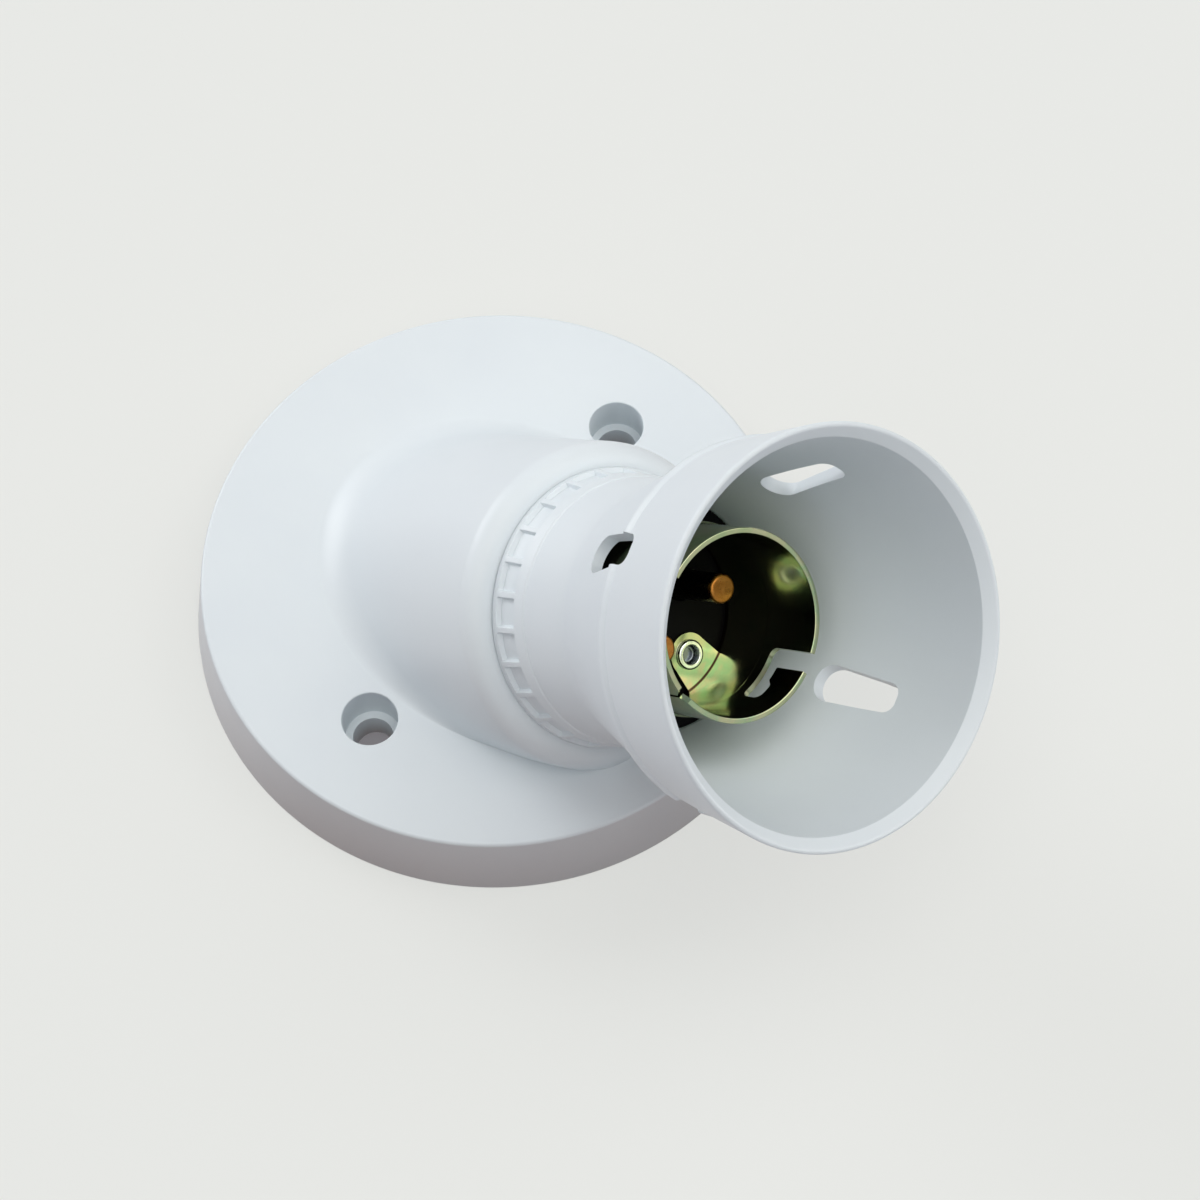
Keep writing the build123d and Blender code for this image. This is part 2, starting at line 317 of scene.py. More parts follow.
class Shaper:
    """A Blender object under construction, from closed surfaces joined one by one."""

    CREASE = math.radians(32)
    MERGE = 1e-7
    EVEN_WEIGHT = 80

    def __init__(self, name: str, surface: Surface) -> None:
        """Start a piece from its first surface."""
        self.piece = self._object(name, surface)

    @classmethod
    def _object(cls, name: str, surface: Surface) -> bpy.types.Object:
        """A mesh object in metres with its faces pointing outwards.

        Args:
            name: the object's and the mesh's name.
            surface: its shape.

        Returns:
            The object, linked to the scene.
        """
        mesh = bpy.data.meshes.new(name)
        mesh.from_pydata((surface.points * MM).tolist(), [], surface.faces)
        work = bmesh.new()
        work.from_mesh(mesh)
        bmesh.ops.remove_doubles(work, verts=work.verts, dist=cls.MERGE)
        bmesh.ops.recalc_face_normals(work, faces=work.faces)
        work.to_mesh(mesh)
        work.free()
        piece = bpy.data.objects.new(name, mesh)
        bpy.context.scene.collection.objects.link(piece)
        return piece

    def join(self, how: Join, *surfaces: Surface) -> "Shaper":
        """Act on the piece with each surface in turn.

        Args:
            how: add, cut away, or keep the part inside.
            surfaces: closed surfaces in the row frame.

        Returns:
            The same shaper.
        """
        for surface in surfaces:
            tool = self._object("tool", surface)
            step = self.piece.modifiers.new("step", "BOOLEAN")
            step.operation = how.value
            step.solver = "EXACT"
            step.object = tool
            self._settle()
            bpy.data.meshes.remove(tool.data)
        return self

    def _settle(self) -> None:
        """Make the modifiers' result the piece's own mesh."""
        ready = self.piece.evaluated_get(bpy.context.evaluated_depsgraph_get())
        mesh = bpy.data.meshes.new_from_object(ready)
        old = self.piece.data
        self.piece.modifiers.clear()
        self.piece.data = mesh
        mesh.name = old.name
        bpy.data.meshes.remove(old)

    def taken(self) -> Surface:
        """Turn the piece back into a surface and drop its object.

        Returns:
            The surface, in millimetres.
        """
        mesh = self.piece.data
        points = np.zeros(len(mesh.vertices) * 3)
        mesh.vertices.foreach_get("co", points)
        surface = Surface(points.reshape(-1, 3) / MM, [list(p.vertices) for p in mesh.polygons])
        bpy.data.meshes.remove(mesh)
        return surface

    def finish(self, material: bpy.types.Material, body: str, slot: str, *nodes: str) -> bpy.types.Object:
        """Shade, dress and seat the piece.

        Args:
            material: its finish.
            body: the CAD body it rides on.
            slot: the record's material slot; not used.
            nodes: the CAD nodes it stands for.

        Returns:
            The finished object.
        """
        mesh = self.piece.data
        mesh.shade_smooth()
        mesh.set_sharp_from_angle(angle=self.CREASE)
        mesh.materials.clear()
        mesh.materials.append(material)
        even = self.piece.modifiers.new("even_normals", "WEIGHTED_NORMAL")
        even.keep_sharp = True
        even.weight = self.EVEN_WEIGHT
        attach(self.piece, body)
        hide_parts(*nodes)
        log.info("%s: %d faces on %s", self.piece.name, len(mesh.polygons), body)
        return self.piece


@dataclass(frozen=True)
class Noise:
    """A fractal noise: its scale per metre, its levels of detail and how rough they are."""

    scale: float
    detail: float = 3.0
    roughness: float = 0.5


class Graph:
    """A node tree, written node by node."""

    def __init__(self, tree: bpy.types.NodeTree) -> None:
        """Write into a tree that exists."""
        self.tree = tree

    def feed(self, target: Socket, value: object) -> None:
        """Link an input to a socket, or set it to a value.

        Args:
            target: the input.
            value: the socket or the value.
        """
        if isinstance(value, Socket):
            self.tree.links.new(value, target)
        else:
            target.default_value = value

    def made(
        self, kind: str, into: dict[str | int, object], out: str | int = 0, **properties: object
    ) -> Socket:
        """A new node, with its inputs fed.

        Args:
            kind: the node's type.
            into: a socket or a value for each input, by the input's name or number.
            out: name or number of the output that is wanted.
            properties: the node's own settings.

        Returns:
            That output.
        """
        node = self.tree.nodes.new(kind)
        for key, value in properties.items():
            setattr(node, key, value)
        for key, value in into.items():
            self.feed(node.inputs[key], value)
        return node.outputs[out]

    def seen(self) -> Socket:
        """Tell the rays that see a surface from those that only carry light.

        Returns:
            1 for a ray from the camera, a mirror or glass, and 0 for the rest: the three tests added up.
        """
        total = self.made("ShaderNodeLightPath", {}, "Is Camera Ray")
        tests = total.node.outputs
        for kind in ("Is Glossy Ray", "Is Transmission Ray"):
            total = self.made("ShaderNodeMath", {0: total, 1: tests[kind]}, operation="ADD", use_clamp=True)
        return total


class MaterialGraph(Graph):
    """A material's node tree, with its shader and its Object coordinates."""

    NOISE_MIDDLE = {"From Min": 0.3, "From Max": 0.7}

    def __init__(self, name: str) -> None:
        """Start a material.

        Args:
            name: the material's name.
        """
        self.material = bpy.data.materials.new(name)
        self.material.use_nodes = True
        super().__init__(self.material.node_tree)
        self.shader = self.tree.nodes["Principled BSDF"]
        self.place = self.made("ShaderNodeTexCoord", {}, "Object")

    def dress(self, **values: object) -> bpy.types.Material:
        """Feed the shader's own inputs.

        Args:
            values: a socket or a uniform value for each input, by its name with underscores.

        Returns:
            The material.
        """
        for key, value in values.items():
            self.feed(self.shader.inputs[key.replace("_", " ")], value)
        return self.material

    def along_lamp(self) -> Socket:
        """Turn the Object coordinates so that Z runs along the lamp axis.

        Returns:
            The turned coordinates.
        """
        origin = [c * MM for c in LAMP.origin]
        values = {"Location": origin, "Rotation": (0.0, LAMP.lean, 0.0), "Vector": self.place}
        return self.made("ShaderNodeMapping", values, vector_type="TEXTURE")

    def stretched(self, source: Socket, scale: tuple[float, float, float]) -> Socket:
        """Coordinates scaled differently along each axis."""
        return self.made("ShaderNodeMapping", {"Scale": scale, "Vector": source})

    def share(self, source: Socket, low: float, high: float) -> Socket:
        """0 at one length, 1 at another, even between them and held beyond; lengths in millimetres."""
        return self.made("ShaderNodeMapRange", {"From Min": low * MM, "From Max": high * MM, "Value": source})

    def climb(self, low: float, high: float) -> Socket:
        """Share that grows from one station of the lamp axis to another."""
        return self.share(self.made("ShaderNodeSeparateXYZ", {"Vector": self.along_lamp()}, "Z"), low, high)

    def reach(self, source: Socket, low: float, high: float) -> Socket:
        """Share that grows from one distance from the coordinates' Z axis to another.

        Args:
            source: the coordinates.
            low: distance at which it is 0, in millimetres.
            high: distance at which it is 1, in millimetres.

        Returns:
            The share.
        """
        level = self.made("ShaderNodeVectorMath", {0: source, 1: (1.0, 1.0, 0.0)}, operation="MULTIPLY")
        distance = self.made("ShaderNodeVectorMath", {0: level}, "Value", operation="LENGTH")
        return self.share(distance, low, high)

    def tinted(self, share: Socket, start: Socket, end: Colour) -> Socket:
        """Colours that go over to one colour as the share grows."""
        return self.made("ShaderNodeMixRGB", {"Fac": share, "Color1": start, "Color2": (*end, 1.0)})

    def both(self, one: Socket, other: Socket) -> Socket:
        """Product of two shares."""
        return self.made("ShaderNodeMath", {0: one, 1: other}, operation="MULTIPLY")

    def noise(self, source: Socket, kind: Noise) -> Socket:
        """Fractal noise over some coordinates."""
        values = {"Scale": kind.scale, "Detail": kind.detail, "Roughness": kind.roughness, "Vector": source}
        return self.made("ShaderNodeTexNoise", values, "Fac")

    def spread(self, source: Socket, low: float, high: float) -> Socket:
        """A noise's middle range mapped to a span of values."""
        values = {**self.NOISE_MIDDLE, "To Min": low, "To Max": high, "Value": source}
        return self.made("ShaderNodeMapRange", values)

    def bump(self, height: Socket, strength: float, depth: float) -> Socket:
        """Normal of a relief: its height, its share of the effect and its full depth in metres."""
        values = {"Strength": strength, "Distance": depth, "Height": height}
        return self.made("ShaderNodeBump", values, "Normal")

    def ramp(self, source: Socket, places: list[float] | Span, colours: tuple[Colour, ...]) -> Socket:
        """Colours spread over a value.

        Args:
            source: the value.
            places: where on the value each colour stands.
            colours: the colours, linear.

        Returns:
            The colour.
        """
        out = self.made("ShaderNodeValToRGB", {"Fac": source}, "Color")
        elements = out.node.color_ramp.elements
        while len(elements) < len(colours):
            elements.new(1.0)
        for element, place, colour in zip(elements, places, colours):
            element.position = place
            element.color = (*colour, 1.0)
        return out


@dataclass(frozen=True)
class MouldedPlastic:
    """Moulded plastic: a faint mottle drawn out along the axis, a soft orange-peel relief and uneven gloss.

    Args:
        name: material name.
        colour: body colour, linear.
        mottle: colour of the denser patches.
        gloss: least and most roughness.
        peel: depth of the orange peel, in metres.
        shine: level of the mirrored light, 0.5 for a clean polish.
        ior: index of refraction.
        flow: noise of the mottle.
        flow_stretch: how it is drawn out.
        flow_span: noise values of the mottle and of the body colour.
        handling: noise of the gloss.
        relief: noise of the orange peel.
        relief_share: how much of it shows.
    """

    name: str
    colour: Colour
    mottle: Colour
    gloss: Span
    peel: float
    shine: float
    ior: float = 1.5
    flow: Noise = Noise(90.0, 4.0)
    flow_stretch: tuple[float, float, float] = (1.0, 1.0, 0.35)
    flow_span: Span = (0.35, 0.65)
    handling: Noise = Noise(160.0, 5.0, 0.6)
    relief: Noise = Noise(420.0, 1.0)
    relief_share: float = 0.5

    def material(self) -> bpy.types.Material:
        """Write the finish as nodes.

        Returns:
            The material.
        """
        graph = MaterialGraph(self.name)
        flow = graph.noise(graph.stretched(graph.along_lamp(), self.flow_stretch), self.flow)
        return graph.dress(
            Base_Color=graph.ramp(flow, self.flow_span, (self.mottle, self.colour)),
            Roughness=graph.spread(graph.noise(graph.place, self.handling), *self.gloss),
            Normal=graph.bump(graph.noise(graph.place, self.relief), self.relief_share, self.peel),
            IOR=self.ior,
            Specular_IOR_Level=self.shine,
        )


@dataclass(frozen=True)
class PlatedSheet:
    """Plated sheet metal: film colours in broad drifts, fine drawing lines round the axis, painted shade in
    the fold.

    Args:
        name: material name.
        film: colours of the drifts, thin film first.
        gloss: least and most roughness.
        line_depth: depth of the drawing lines, in metres.
        painted_fold_shade: colour of the shade painted in the fold.
        painted_fold_shade_width: width of its line, in millimetres.
        painted_fold_shade_edge: how softly it ends, in millimetres.
        drift: noise of the film.
        drift_span: noise values of the first and last film colour.
        rub: noise of the gloss.
        rub_stretch: how it is drawn out round the axis.
        lines: noise of the drawing lines.
        line_stretch: how they are drawn out.
        line_share: how much of them shows.
    """

    name: str
    film: tuple[Colour, ...]
    gloss: Span
    line_depth: float
    painted_fold_shade: Colour = (0.09, 0.05, 0.03)
    painted_fold_shade_width: float = 0.25
    painted_fold_shade_edge: float = 0.1
    drift: Noise = Noise(130.0, 4.0, 0.55)
    drift_span: Span = (0.32, 0.68)
    rub: Noise = Noise(260.0, 4.0, 0.6)
    rub_stretch: tuple[float, float, float] = (1.0, 1.0, 14.0)
    lines: Noise = Noise(3200.0, 2.0)
    line_stretch: tuple[float, float, float] = (0.04, 0.04, 1.0)
    line_share: float = 0.4

    def material(self, fold: float, top: float) -> bpy.types.Material:
        """Write the finish as nodes.

        Args:
            fold: radius at which the tabs fold, in millimetres.
            top: station of the tabs' upper face, in millimetres.

        Returns:
            The material.
        """
        graph = MaterialGraph(self.name)
        axis = graph.along_lamp()
        places = np.linspace(*self.drift_span, len(self.film)).tolist()
        film = graph.ramp(graph.noise(axis, self.drift), places, self.film)
        # Painted shade: a dark line next to the wall and under the tabs' upper face, where the tabs fold in.
        line = graph.reach(axis, fold - self.painted_fold_shade_width, fold - self.painted_fold_shade_width / 2)
        flat = graph.climb(top + self.painted_fold_shade_edge, top + self.painted_fold_shade_edge / 2)
        rub = graph.noise(graph.stretched(axis, self.rub_stretch), self.rub)
        lines = graph.noise(graph.stretched(axis, self.line_stretch), self.lines)
        return graph.dress(
            Base_Color=graph.tinted(graph.both(line, flat), film, self.painted_fold_shade),
            Roughness=graph.spread(rub, *self.gloss),
            Normal=graph.bump(lines, self.line_share, self.line_depth),
            Metallic=1.0,
        )


@dataclass(frozen=True)
class TurnedMetal:
    """Turned bar: tarnish in small clouds, tool rings square to the axis and, where a station is given,
    painted shade below it.

    Args:
        name: material name.
        bright: colour of the clean metal, linear.
        tarnish: colour of the dull clouds.
        gloss: least and most roughness.
        ring_depth: depth of the tool rings, in metres.
        painted_shade: colour of the shade painted on the parts below that station.
        painted_shade_edge: length over which the painted shade sets in, in millimetres.
        cloud: noise of the tarnish.
        cloud_span: noise values of the tarnish and of the clean metal.
        dull: noise of the gloss.
        rings: noise of the tool rings.
        ring_stretch: how they are drawn out.
        ring_share: how much of them shows.
    """

    name: str
    bright: Colour
    tarnish: Colour
    gloss: Span
    ring_depth: float
    painted_shade: Colour = (0.02, 0.012, 0.007)
    painted_shade_edge: float = 0.3
    cloud: Noise = Noise(700.0, 4.0, 0.6)
    cloud_span: Span = (0.38, 0.62)
    dull: Noise = Noise(1500.0)
    rings: Noise = Noise(5200.0, 2.0)
    ring_stretch: tuple[float, float, float] = (0.05, 0.05, 1.0)
    ring_share: float = 0.35

    def material(self, painted_shade_from: float | None = None) -> bpy.types.Material:
        """Write the finish as nodes.

        Args:
            painted_shade_from: station under which shade is painted on the metal, in millimetres, or None for
                no painted shade.

        Returns:
            The material.
        """
        graph = MaterialGraph(self.name)
        axis = graph.along_lamp()
        colours = graph.ramp(graph.noise(axis, self.cloud), self.cloud_span, (self.tarnish, self.bright))
        if painted_shade_from is not None:
            # Painted shade below the station.
            colours = graph.tinted(graph.climb(painted_shade_from, painted_shade_from - self.painted_shade_edge), colours, self.painted_shade)
        rings = graph.noise(graph.stretched(axis, self.ring_stretch), self.rings)
        return graph.dress(
            Base_Color=colours,
            Roughness=graph.spread(graph.noise(axis, self.dull), *self.gloss),
            Normal=graph.bump(rings, self.ring_share, self.ring_depth),
            Metallic=1.0,
        )


WHITE = MouldedPlastic("white_moulding", (0.725, 0.785, 0.815), (0.71, 0.77, 0.805), (0.36, 0.46), 6e-6, 0.35)
BLACK = MouldedPlastic(
    "black_moulding", (0.005, 0.005, 0.006), (0.0025, 0.0025, 0.003), (0.4, 0.52), 1e-5, 0.06
)
PASSIVATED = PlatedSheet(
    "passivated_steel",
    ((0.24, 0.37, 0.2), (0.38, 0.44, 0.25), (0.46, 0.46, 0.29), (0.33, 0.44, 0.27), (0.44, 0.39, 0.26)),
    (0.1, 0.16),
    6e-7,
)
BRIGHT = TurnedMetal(
    "bright_steel", (0.76, 0.8, 0.76), (0.64, 0.67, 0.62), (0.14, 0.22), 1e-6, (0.16, 0.18, 0.2)
)
BRASS = TurnedMetal("brass", (0.6, 0.36, 0.15), (0.42, 0.22, 0.09), (0.3, 0.46), 3e-6)
CONTACT = TurnedMetal("contact_brass", (0.42, 0.18, 0.04), (0.28, 0.11, 0.02), (0.24, 0.36), 1e-6)
SPRING = TurnedMetal("spring_steel", (0.42, 0.42, 0.42), (0.3, 0.3, 0.3), (0.25, 0.4), 1e-6)


@dataclass
class Stations:
    """Places along the lamp axis that pieces share, in millimetres."""

    spout_end: float = 32.4
    nose_length: float = 8.1
    disc_thick: float = 3.0
    barrel_seat_depth: float = 2.0
    barrel_height: float = 19.0
    terminal_cover: float = 4.0
    slide_gap: float = 0.05

    @property
    def seat(self) -> float:
        """End of the nose, where the insert sits."""
        return self.spout_end + self.nose_length

    @property
    def disc_top(self) -> float:
        """Upper face of the insert's disc."""
        return self.seat + self.disc_thick

    @property
    def barrel_floor(self) -> float:
        """Floor of the disc's recess, on which the barrel stands."""
        return self.disc_top - self.barrel_seat_depth

    @property
    def rim(self) -> float:
        """Rim of the bayonet barrel."""
        return self.barrel_floor + self.barrel_height

    @property
    def terminal_top(self) -> float:
        """Upper end of the terminals."""
        return self.disc_top - self.terminal_cover - self.slide_gap


AT = Stations()


@dataclass
class Base:
    """Flange, slanted spout and threaded nose in one white moulding, hollow from the back; in millimetres."""

    height: float = 10.8
    top_r: float = 39.4
    back_r: float = 41.1
    wall: float = 2.6
    edge: float = 0.5
    hollow_round: float = 0.8
    hole_r: float = 2.7
    head_r: float = 3.7
    head_depth: float = 6.1
    head_chamfer: float = 0.1
    boss_wall: float = 2.2
    spout_r: float = 21.3
    spout_wall: float = 2.7
    shoulder: float = 2.8
    flare: float = 2.3
    flare_rise: float = 3.2
    flare_ease: float = 1.6
    flare_sunk: float = 0.5
    flare_side_share: float = 0.6
    flare_front_share: float = -2.5
    nose_r: float = 15.3
    nose_wall: float = 2.27
    nose_chamfer: float = 0.5
    nose_chamfer_run: float = 0.6
    collar_room_r: float = 18.65
    room_lift: float = 0.01
    thread_pitch: float = 2.5
    thread_depth: float = 0.7
    thread_flank: float = 0.55
    thread_start: float = 0.6
    thread_end: float = 0.5
    thread_fade: float = 1.2
    over: float = 2.0
    far: float = 90.0
    spout_rows: int = 24
    flare_rows: int = 28
    nose_rows: int = 130
    sides: int = 256
    room_sides: int = 192
    nose_sides: int = 180
    bore_sides: int = 160
    cutter_sides: int = 96
    hole_sides: int = 72

    def flange_body(self) -> Surface:
        """Tapered disc: a two-point wall with a rounded upper edge, turned about the row's Z."""
        wall = rounded([(self.back_r, 0, 0), (self.top_r, self.height, self.edge), (0, self.height, 0)])
        return lathe(wall[:-1], around(self.sides))

    def spout_body(self) -> Surface:
        """Leaning cylinder from a level inside the flange up to its rounded shoulder.

        Returns:
            The closed surface: straight lines from the level plane to the shoulder, then the shoulder's arc.
        """
        angles = around(self.sides)
        foot_level = LAMP.station_on_level(self.spout_r * np.cos(angles), self.height / 2)
        foot = polar(self.spout_r, angles, foot_level)
        corner = (self.spout_r, AT.spout_end, self.shoulder)
        shoulder = rounded([(self.spout_r, 0, 0), corner, (0, AT.spout_end, 0)], steps=14)[1:-1]
        top = polar(self.spout_r, angles, shoulder[0, 1])
        wall = foot + (top - foot) * np.linspace(0, 1, self.spout_rows)[:, None, None]
        bend = polar(shoulder[1:, :1], angles, shoulder[1:, 1:])
        return skin(np.concatenate([wall, bend])).on_lamp()

    def flare_body(self) -> Surface:
        """Concave foot: ellipses whose offset falls off as a quarter circle, fading out towards the front.

        Returns:
            The closed surface, from inside the flange to just inside the spout.
        """
        steps = np.linspace(0, 1, self.flare_rows) ** self.flare_ease
        rise = np.concatenate([[-self.flare_sunk], steps])[:, None]
        climb = np.clip(rise, 0, None)
        offset = self.flare * (1 - np.sqrt(1 - (1 - climb) ** 2))
        offset[-1] = -AT.slide_gap
        front = offset * self.flare_front_share
        level = self.height + np.where(rise > 0, rise * self.flare_rise, rise * self.wall)
        middle = LAMP.origin[0] + (self.height + climb * self.flare_rise) * math.tan(LAMP.lean)
        half_long = self.spout_r / math.cos(LAMP.lean) + (offset + front) / 2
        half_wide = self.spout_r + offset * self.flare_side_share
        angles = around(self.sides)
        x = middle + (front - offset) / 2 + half_long * np.cos(angles)
        return skin(np.stack(np.broadcast_arrays(x, half_wide * np.sin(angles), level), axis=-1))

    def nose_body(self) -> Surface:
        """Threaded tube: the radius falls into a groove that climbs one pitch a turn and fades at both ends.

        Returns:
            The closed surface, from under the shoulder to the insert's seat.
        """
        angles = around(self.nose_sides)
        station = np.linspace(AT.spout_end - self.spout_wall, AT.seat, self.nose_rows)[:, None]
        phase = station / self.thread_pitch - angles / (2 * math.pi)
        wave = smooth_step((np.cos(2 * math.pi * phase) + self.thread_flank) / (2 * self.thread_flank))
        fade = smooth_step((station - AT.spout_end - self.thread_start) / self.thread_fade)
        fade = fade * smooth_step((AT.seat - self.thread_end - station) / self.thread_fade)
        run = self.nose_chamfer_run
        chamfer = self.nose_chamfer * smooth_step((station - AT.seat + run) / run)
        radius = self.nose_r - self.thread_depth * wave * fade - chamfer
        return skin(polar(radius, angles, station)).on_lamp()

    def hollow(self) -> Surface:
        """The flange's inside, a tapered disc that leaves an even wall.

        Returns:
            The closed surface, from below the back plane to the ceiling.
        """
        ceiling = self.height - self.wall
        taper = (self.back_r - self.top_r) / self.height
        inner = self.back_r - self.wall
        foot = (inner + self.over * taper, -self.over, 0)
        corner = (inner - ceiling * taper, ceiling, self.hollow_round)
        wall = rounded([foot, corner, (0, ceiling, 0)], steps=5)
        return lathe(wall[:-1], around(self.sides))

    def chamber(self) -> Surface:
        """The spout's inside, from below the back plane to under the shoulder.

        Returns:
            The closed surface: a leaning cylinder whose lower end is level.
        """
        angles = around(self.sides)
        radius = self.spout_r - self.spout_wall
        foot = polar(radius, angles, LAMP.station_on_level(radius * np.cos(angles), -self.over))
        top = polar(radius, angles, AT.spout_end - self.spout_wall)
        return skin(np.stack([foot, top])).on_lamp()

    def drill(self) -> Surface:
        """A fixing hole with its counterbore, about Z.

        Returns:
            The closed surface, reaching past both faces of the flange.
        """
        floor = self.height - self.head_depth
        profile = [
            [self.hole_r, -self.over],
            [self.hole_r, floor],
            [self.head_r, floor],
            [self.head_r, self.height - self.head_chamfer],
            [self.head_r + self.head_chamfer + self.over, self.height + self.over],
        ]
        return lathe(np.array(profile), around(self.hole_sides))

    def fixing_places(self) -> list[float]:
        """Y of each fixing hole, from the frame's mount.

        Returns:
            One value a hole.
        """
        mount = next(m for m in frame["record"]["mounts"] if m["name"] == "fixing_holes")
        half = mount["dims"]["spacing_y_mm"] / 2
        return [half, -half]

    def build(self) -> bpy.types.Object:
        """Join and cut the forms.

        Returns:
            The finished moulding.
        """
        behind = rod(self.far, -self.far, AT.spout_end - self.shoulder, self.cutter_sides).on_lamp()
        foot = Shaper("foot", self.flare_body()).join(Join.KEEP, behind).taken()
        shaper = Shaper("base_shell", self.flange_body())
        shaper.join(Join.ADD, self.spout_body(), foot)
        room = rod(self.collar_room_r, AT.spout_end + self.room_lift, self.far, self.room_sides)
        shaper.join(Join.CUT, room.on_lamp())
        shaper.join(Join.ADD, self.nose_body())
        bore_foot = AT.spout_end - 2 * self.spout_wall
        bore = rod(self.nose_r - self.nose_wall, bore_foot, AT.seat + self.over, self.bore_sides)
        shaper.join(Join.CUT, self.hollow(), self.chamber(), bore.on_lamp())
        boss_top = self.height - self.wall + self.wall / 3
        boss = rod(self.head_r + self.boss_wall, 0, boss_top, self.hole_sides)
        for y in self.fixing_places():
            shaper.join(Join.ADD, boss.moved(y=y))
            shaper.join(Join.CUT, self.drill().moved(y=y))
        return shaper.finish(WHITE.material(), "base", "white_moulding", "base_moulding")


@dataclass
class Skirt:
    """Ribbed collar, neck, flare and slotted bell in one white moulding; in millimetres and degrees."""

    foot_gap: float = 0.15
    bore_r: float = 15.36
    neck_r: float = 17.0
    collar_r: float = 18.15
    collar_top_r: float = 17.2
    collar_length: float = 5.65
    collar_foot_rim: float = 1.0
    collar_top_rim: float = 1.7
    collar_foot_round: float = 0.25
    collar_top_round: float = 0.08
    rib_count: int = 25
    rib_width: float = 0.9
    rib_height: float = 0.6
    rib_phase: float = 1.3
    rib_flank: float = 0.2
    flank_share: float = 0.3
    flank_count: int = 5
    between_count: int = 8
    neck_length: float = 14.8
    flare_length: float = 16.7
    flare_round: float = 9.0
    inner_round: float = 100.0
    bell_length: float = 14.9
    bell_wall: float = 2.0
    bead_r: float = 22.8
    bead_half: float = 1.0
    bead_peak: float = 1.0
    bead_round: float = 1.3
    mouth_r: float = 25.2
    lip_bevel: float = 1.3
    lip_land: float = 0.6
    lip_outer_round: float = 0.4
    lip_inner_round: float = 0.5
    throat_r: float = 14.8
    throat_depth: float = 0.7
    throat_round: float = 0.1
    seat_gap: float = 0.05
    edge: float = 0.2
    longest_run: float = 0.7
    slot_count: int = 4
    slot_phase: float = 19.1
    slot_width: float = 4.9
    slot_mouth_width: float = 3.8
    slot_start: float = 22.1
    slot_length: float = 12.2
    slot_corner: float = 1.5
    slot_over: float = 4.0

    @property
    def foot(self) -> float:
        """Lower end, just clear of the spout."""
        return AT.spout_end + self.foot_gap

    @property
    def pocket_ends(self) -> Span:
        """Stations between which the collar sinks between its ribs."""
        return self.foot + self.collar_foot_rim, self.foot + self.collar_length - self.collar_top_rim

    def collar_at(self, station: float) -> float:
        """Radius of the tapered collar at a station."""
        taper = self.collar_top_r - self.collar_r
        return self.collar_r + taper * (station - self.foot) / self.collar_length

    def profile(self) -> Array:
        """Closed outline, up the outside and down the inside.

        Returns:
            (radius, station) points, shape (n, 2).
        """
        edge = self.edge
        collar_end = self.foot + self.collar_length
        flare_at = AT.spout_end + self.neck_length
        bead_at = flare_at + self.flare_length
        mouth = bead_at + self.bell_length
        half = self.bead_half
        throat = AT.disc_top + self.seat_gap
        flare_slope = (self.bead_r - self.neck_r) / self.flare_length
        bell_slope = (self.mouth_r - self.bead_r) / self.bell_length
        land = self.mouth_r - self.lip_land
        pocket_edges = [end + side * self.rib_flank / 2 for end in self.pocket_ends for side in (-1, 1)]
        corners = [
            (self.bore_r, self.foot, edge),
            (self.collar_r, self.foot, self.collar_foot_round),
            *[(self.collar_at(station), station, 0.0) for station in pocket_edges],
            (self.collar_top_r, collar_end, self.collar_top_round),
            (self.neck_r, collar_end + self.collar_top_r - self.neck_r, edge),
            (self.neck_r, flare_at, self.flare_round),
            (self.bead_r - half * flare_slope, bead_at - half, edge),
            (self.bead_r + self.bead_peak, bead_at, self.bead_round),
            (self.bead_r + half * bell_slope, bead_at + half, edge),
            (self.mouth_r, mouth, self.lip_outer_round),
            (land, mouth, self.lip_inner_round),
            (land - self.lip_bevel, mouth - self.lip_bevel, edge),
            (self.bead_r - self.bell_wall, bead_at, self.inner_round),
            (self.throat_r, throat + self.throat_depth, edge),
            (self.throat_r, throat, self.throat_round),
            (self.bore_r, throat, 0.0),
        ]
        return divided(rounded(corners, steps=5, closed=True), self.longest_run)

    def angles(self) -> Array:
        """Angles that are close together at each rib's flanks.

        Returns:
            Angles of a full turn, in radians.
        """
        pitch = 2 * math.pi / self.rib_count
        half = self.rib_width / 2 / self.collar_r
        flank = half + np.linspace(-self.flank_share, self.flank_share, self.flank_count) * half
        between = np.linspace(flank[-1], pitch - flank[-1], self.between_count)[1:-1]
        one = np.concatenate([[0.0], flank, between, pitch - flank[::-1]])
        starts = math.radians(self.rib_phase) + pitch * np.arange(self.rib_count)
        return (starts[:, None] + one).ravel()

    def body(self) -> Surface:
        """Turned profile whose collar sinks between the ribs: radius less height where both masks are on.

        Returns:
            The closed surface, in the lamp's frame.
        """
        profile = self.profile()
        angles = self.angles()
        radius = profile[:, :1]
        station = profile[:, 1:]
        pitch = 2 * math.pi / self.rib_count
        turn = angles - math.radians(self.rib_phase) + pitch / 2
        from_rib = np.abs(turn % pitch - pitch / 2) * self.collar_r
        between = past_edge(from_rib - self.rib_width / 2, self.rib_flank)
        start, end = self.pocket_ends
        inside = past_edge(station - start, self.rib_flank) * past_edge(end - station, self.rib_flank)
        outer = radius > self.neck_r
        return skin(polar(radius - self.rib_height * between * inside * outer, angles, station), ring=True)

    def slot(self) -> Surface:
        """Vent slot: half a circle at the throat end, narrower and squarer at the mouth, carried outwards.

        Returns:
            The closed surface, pointing along X of the lamp's frame.
        """
        half = self.slot_width / 2
        mouth_half = self.slot_mouth_width / 2
        round_at = AT.spout_end + self.slot_start + half
        end = AT.spout_end + self.slot_start + self.slot_length
        corners = [(end, -mouth_half, self.slot_corner), (end, mouth_half, self.slot_corner)]
        mouth_end = rounded([(round_at, -half, 0), *corners, (round_at, half, 0)], steps=8)[1:-1]
        outline = np.concatenate([half_circle(round_at, half), mouth_end])
        upright = np.stack([-outline[:, 0], outline[:, 1]], axis=1)
        return prism(upright, self.throat_r, self.mouth_r + self.slot_over).laid()

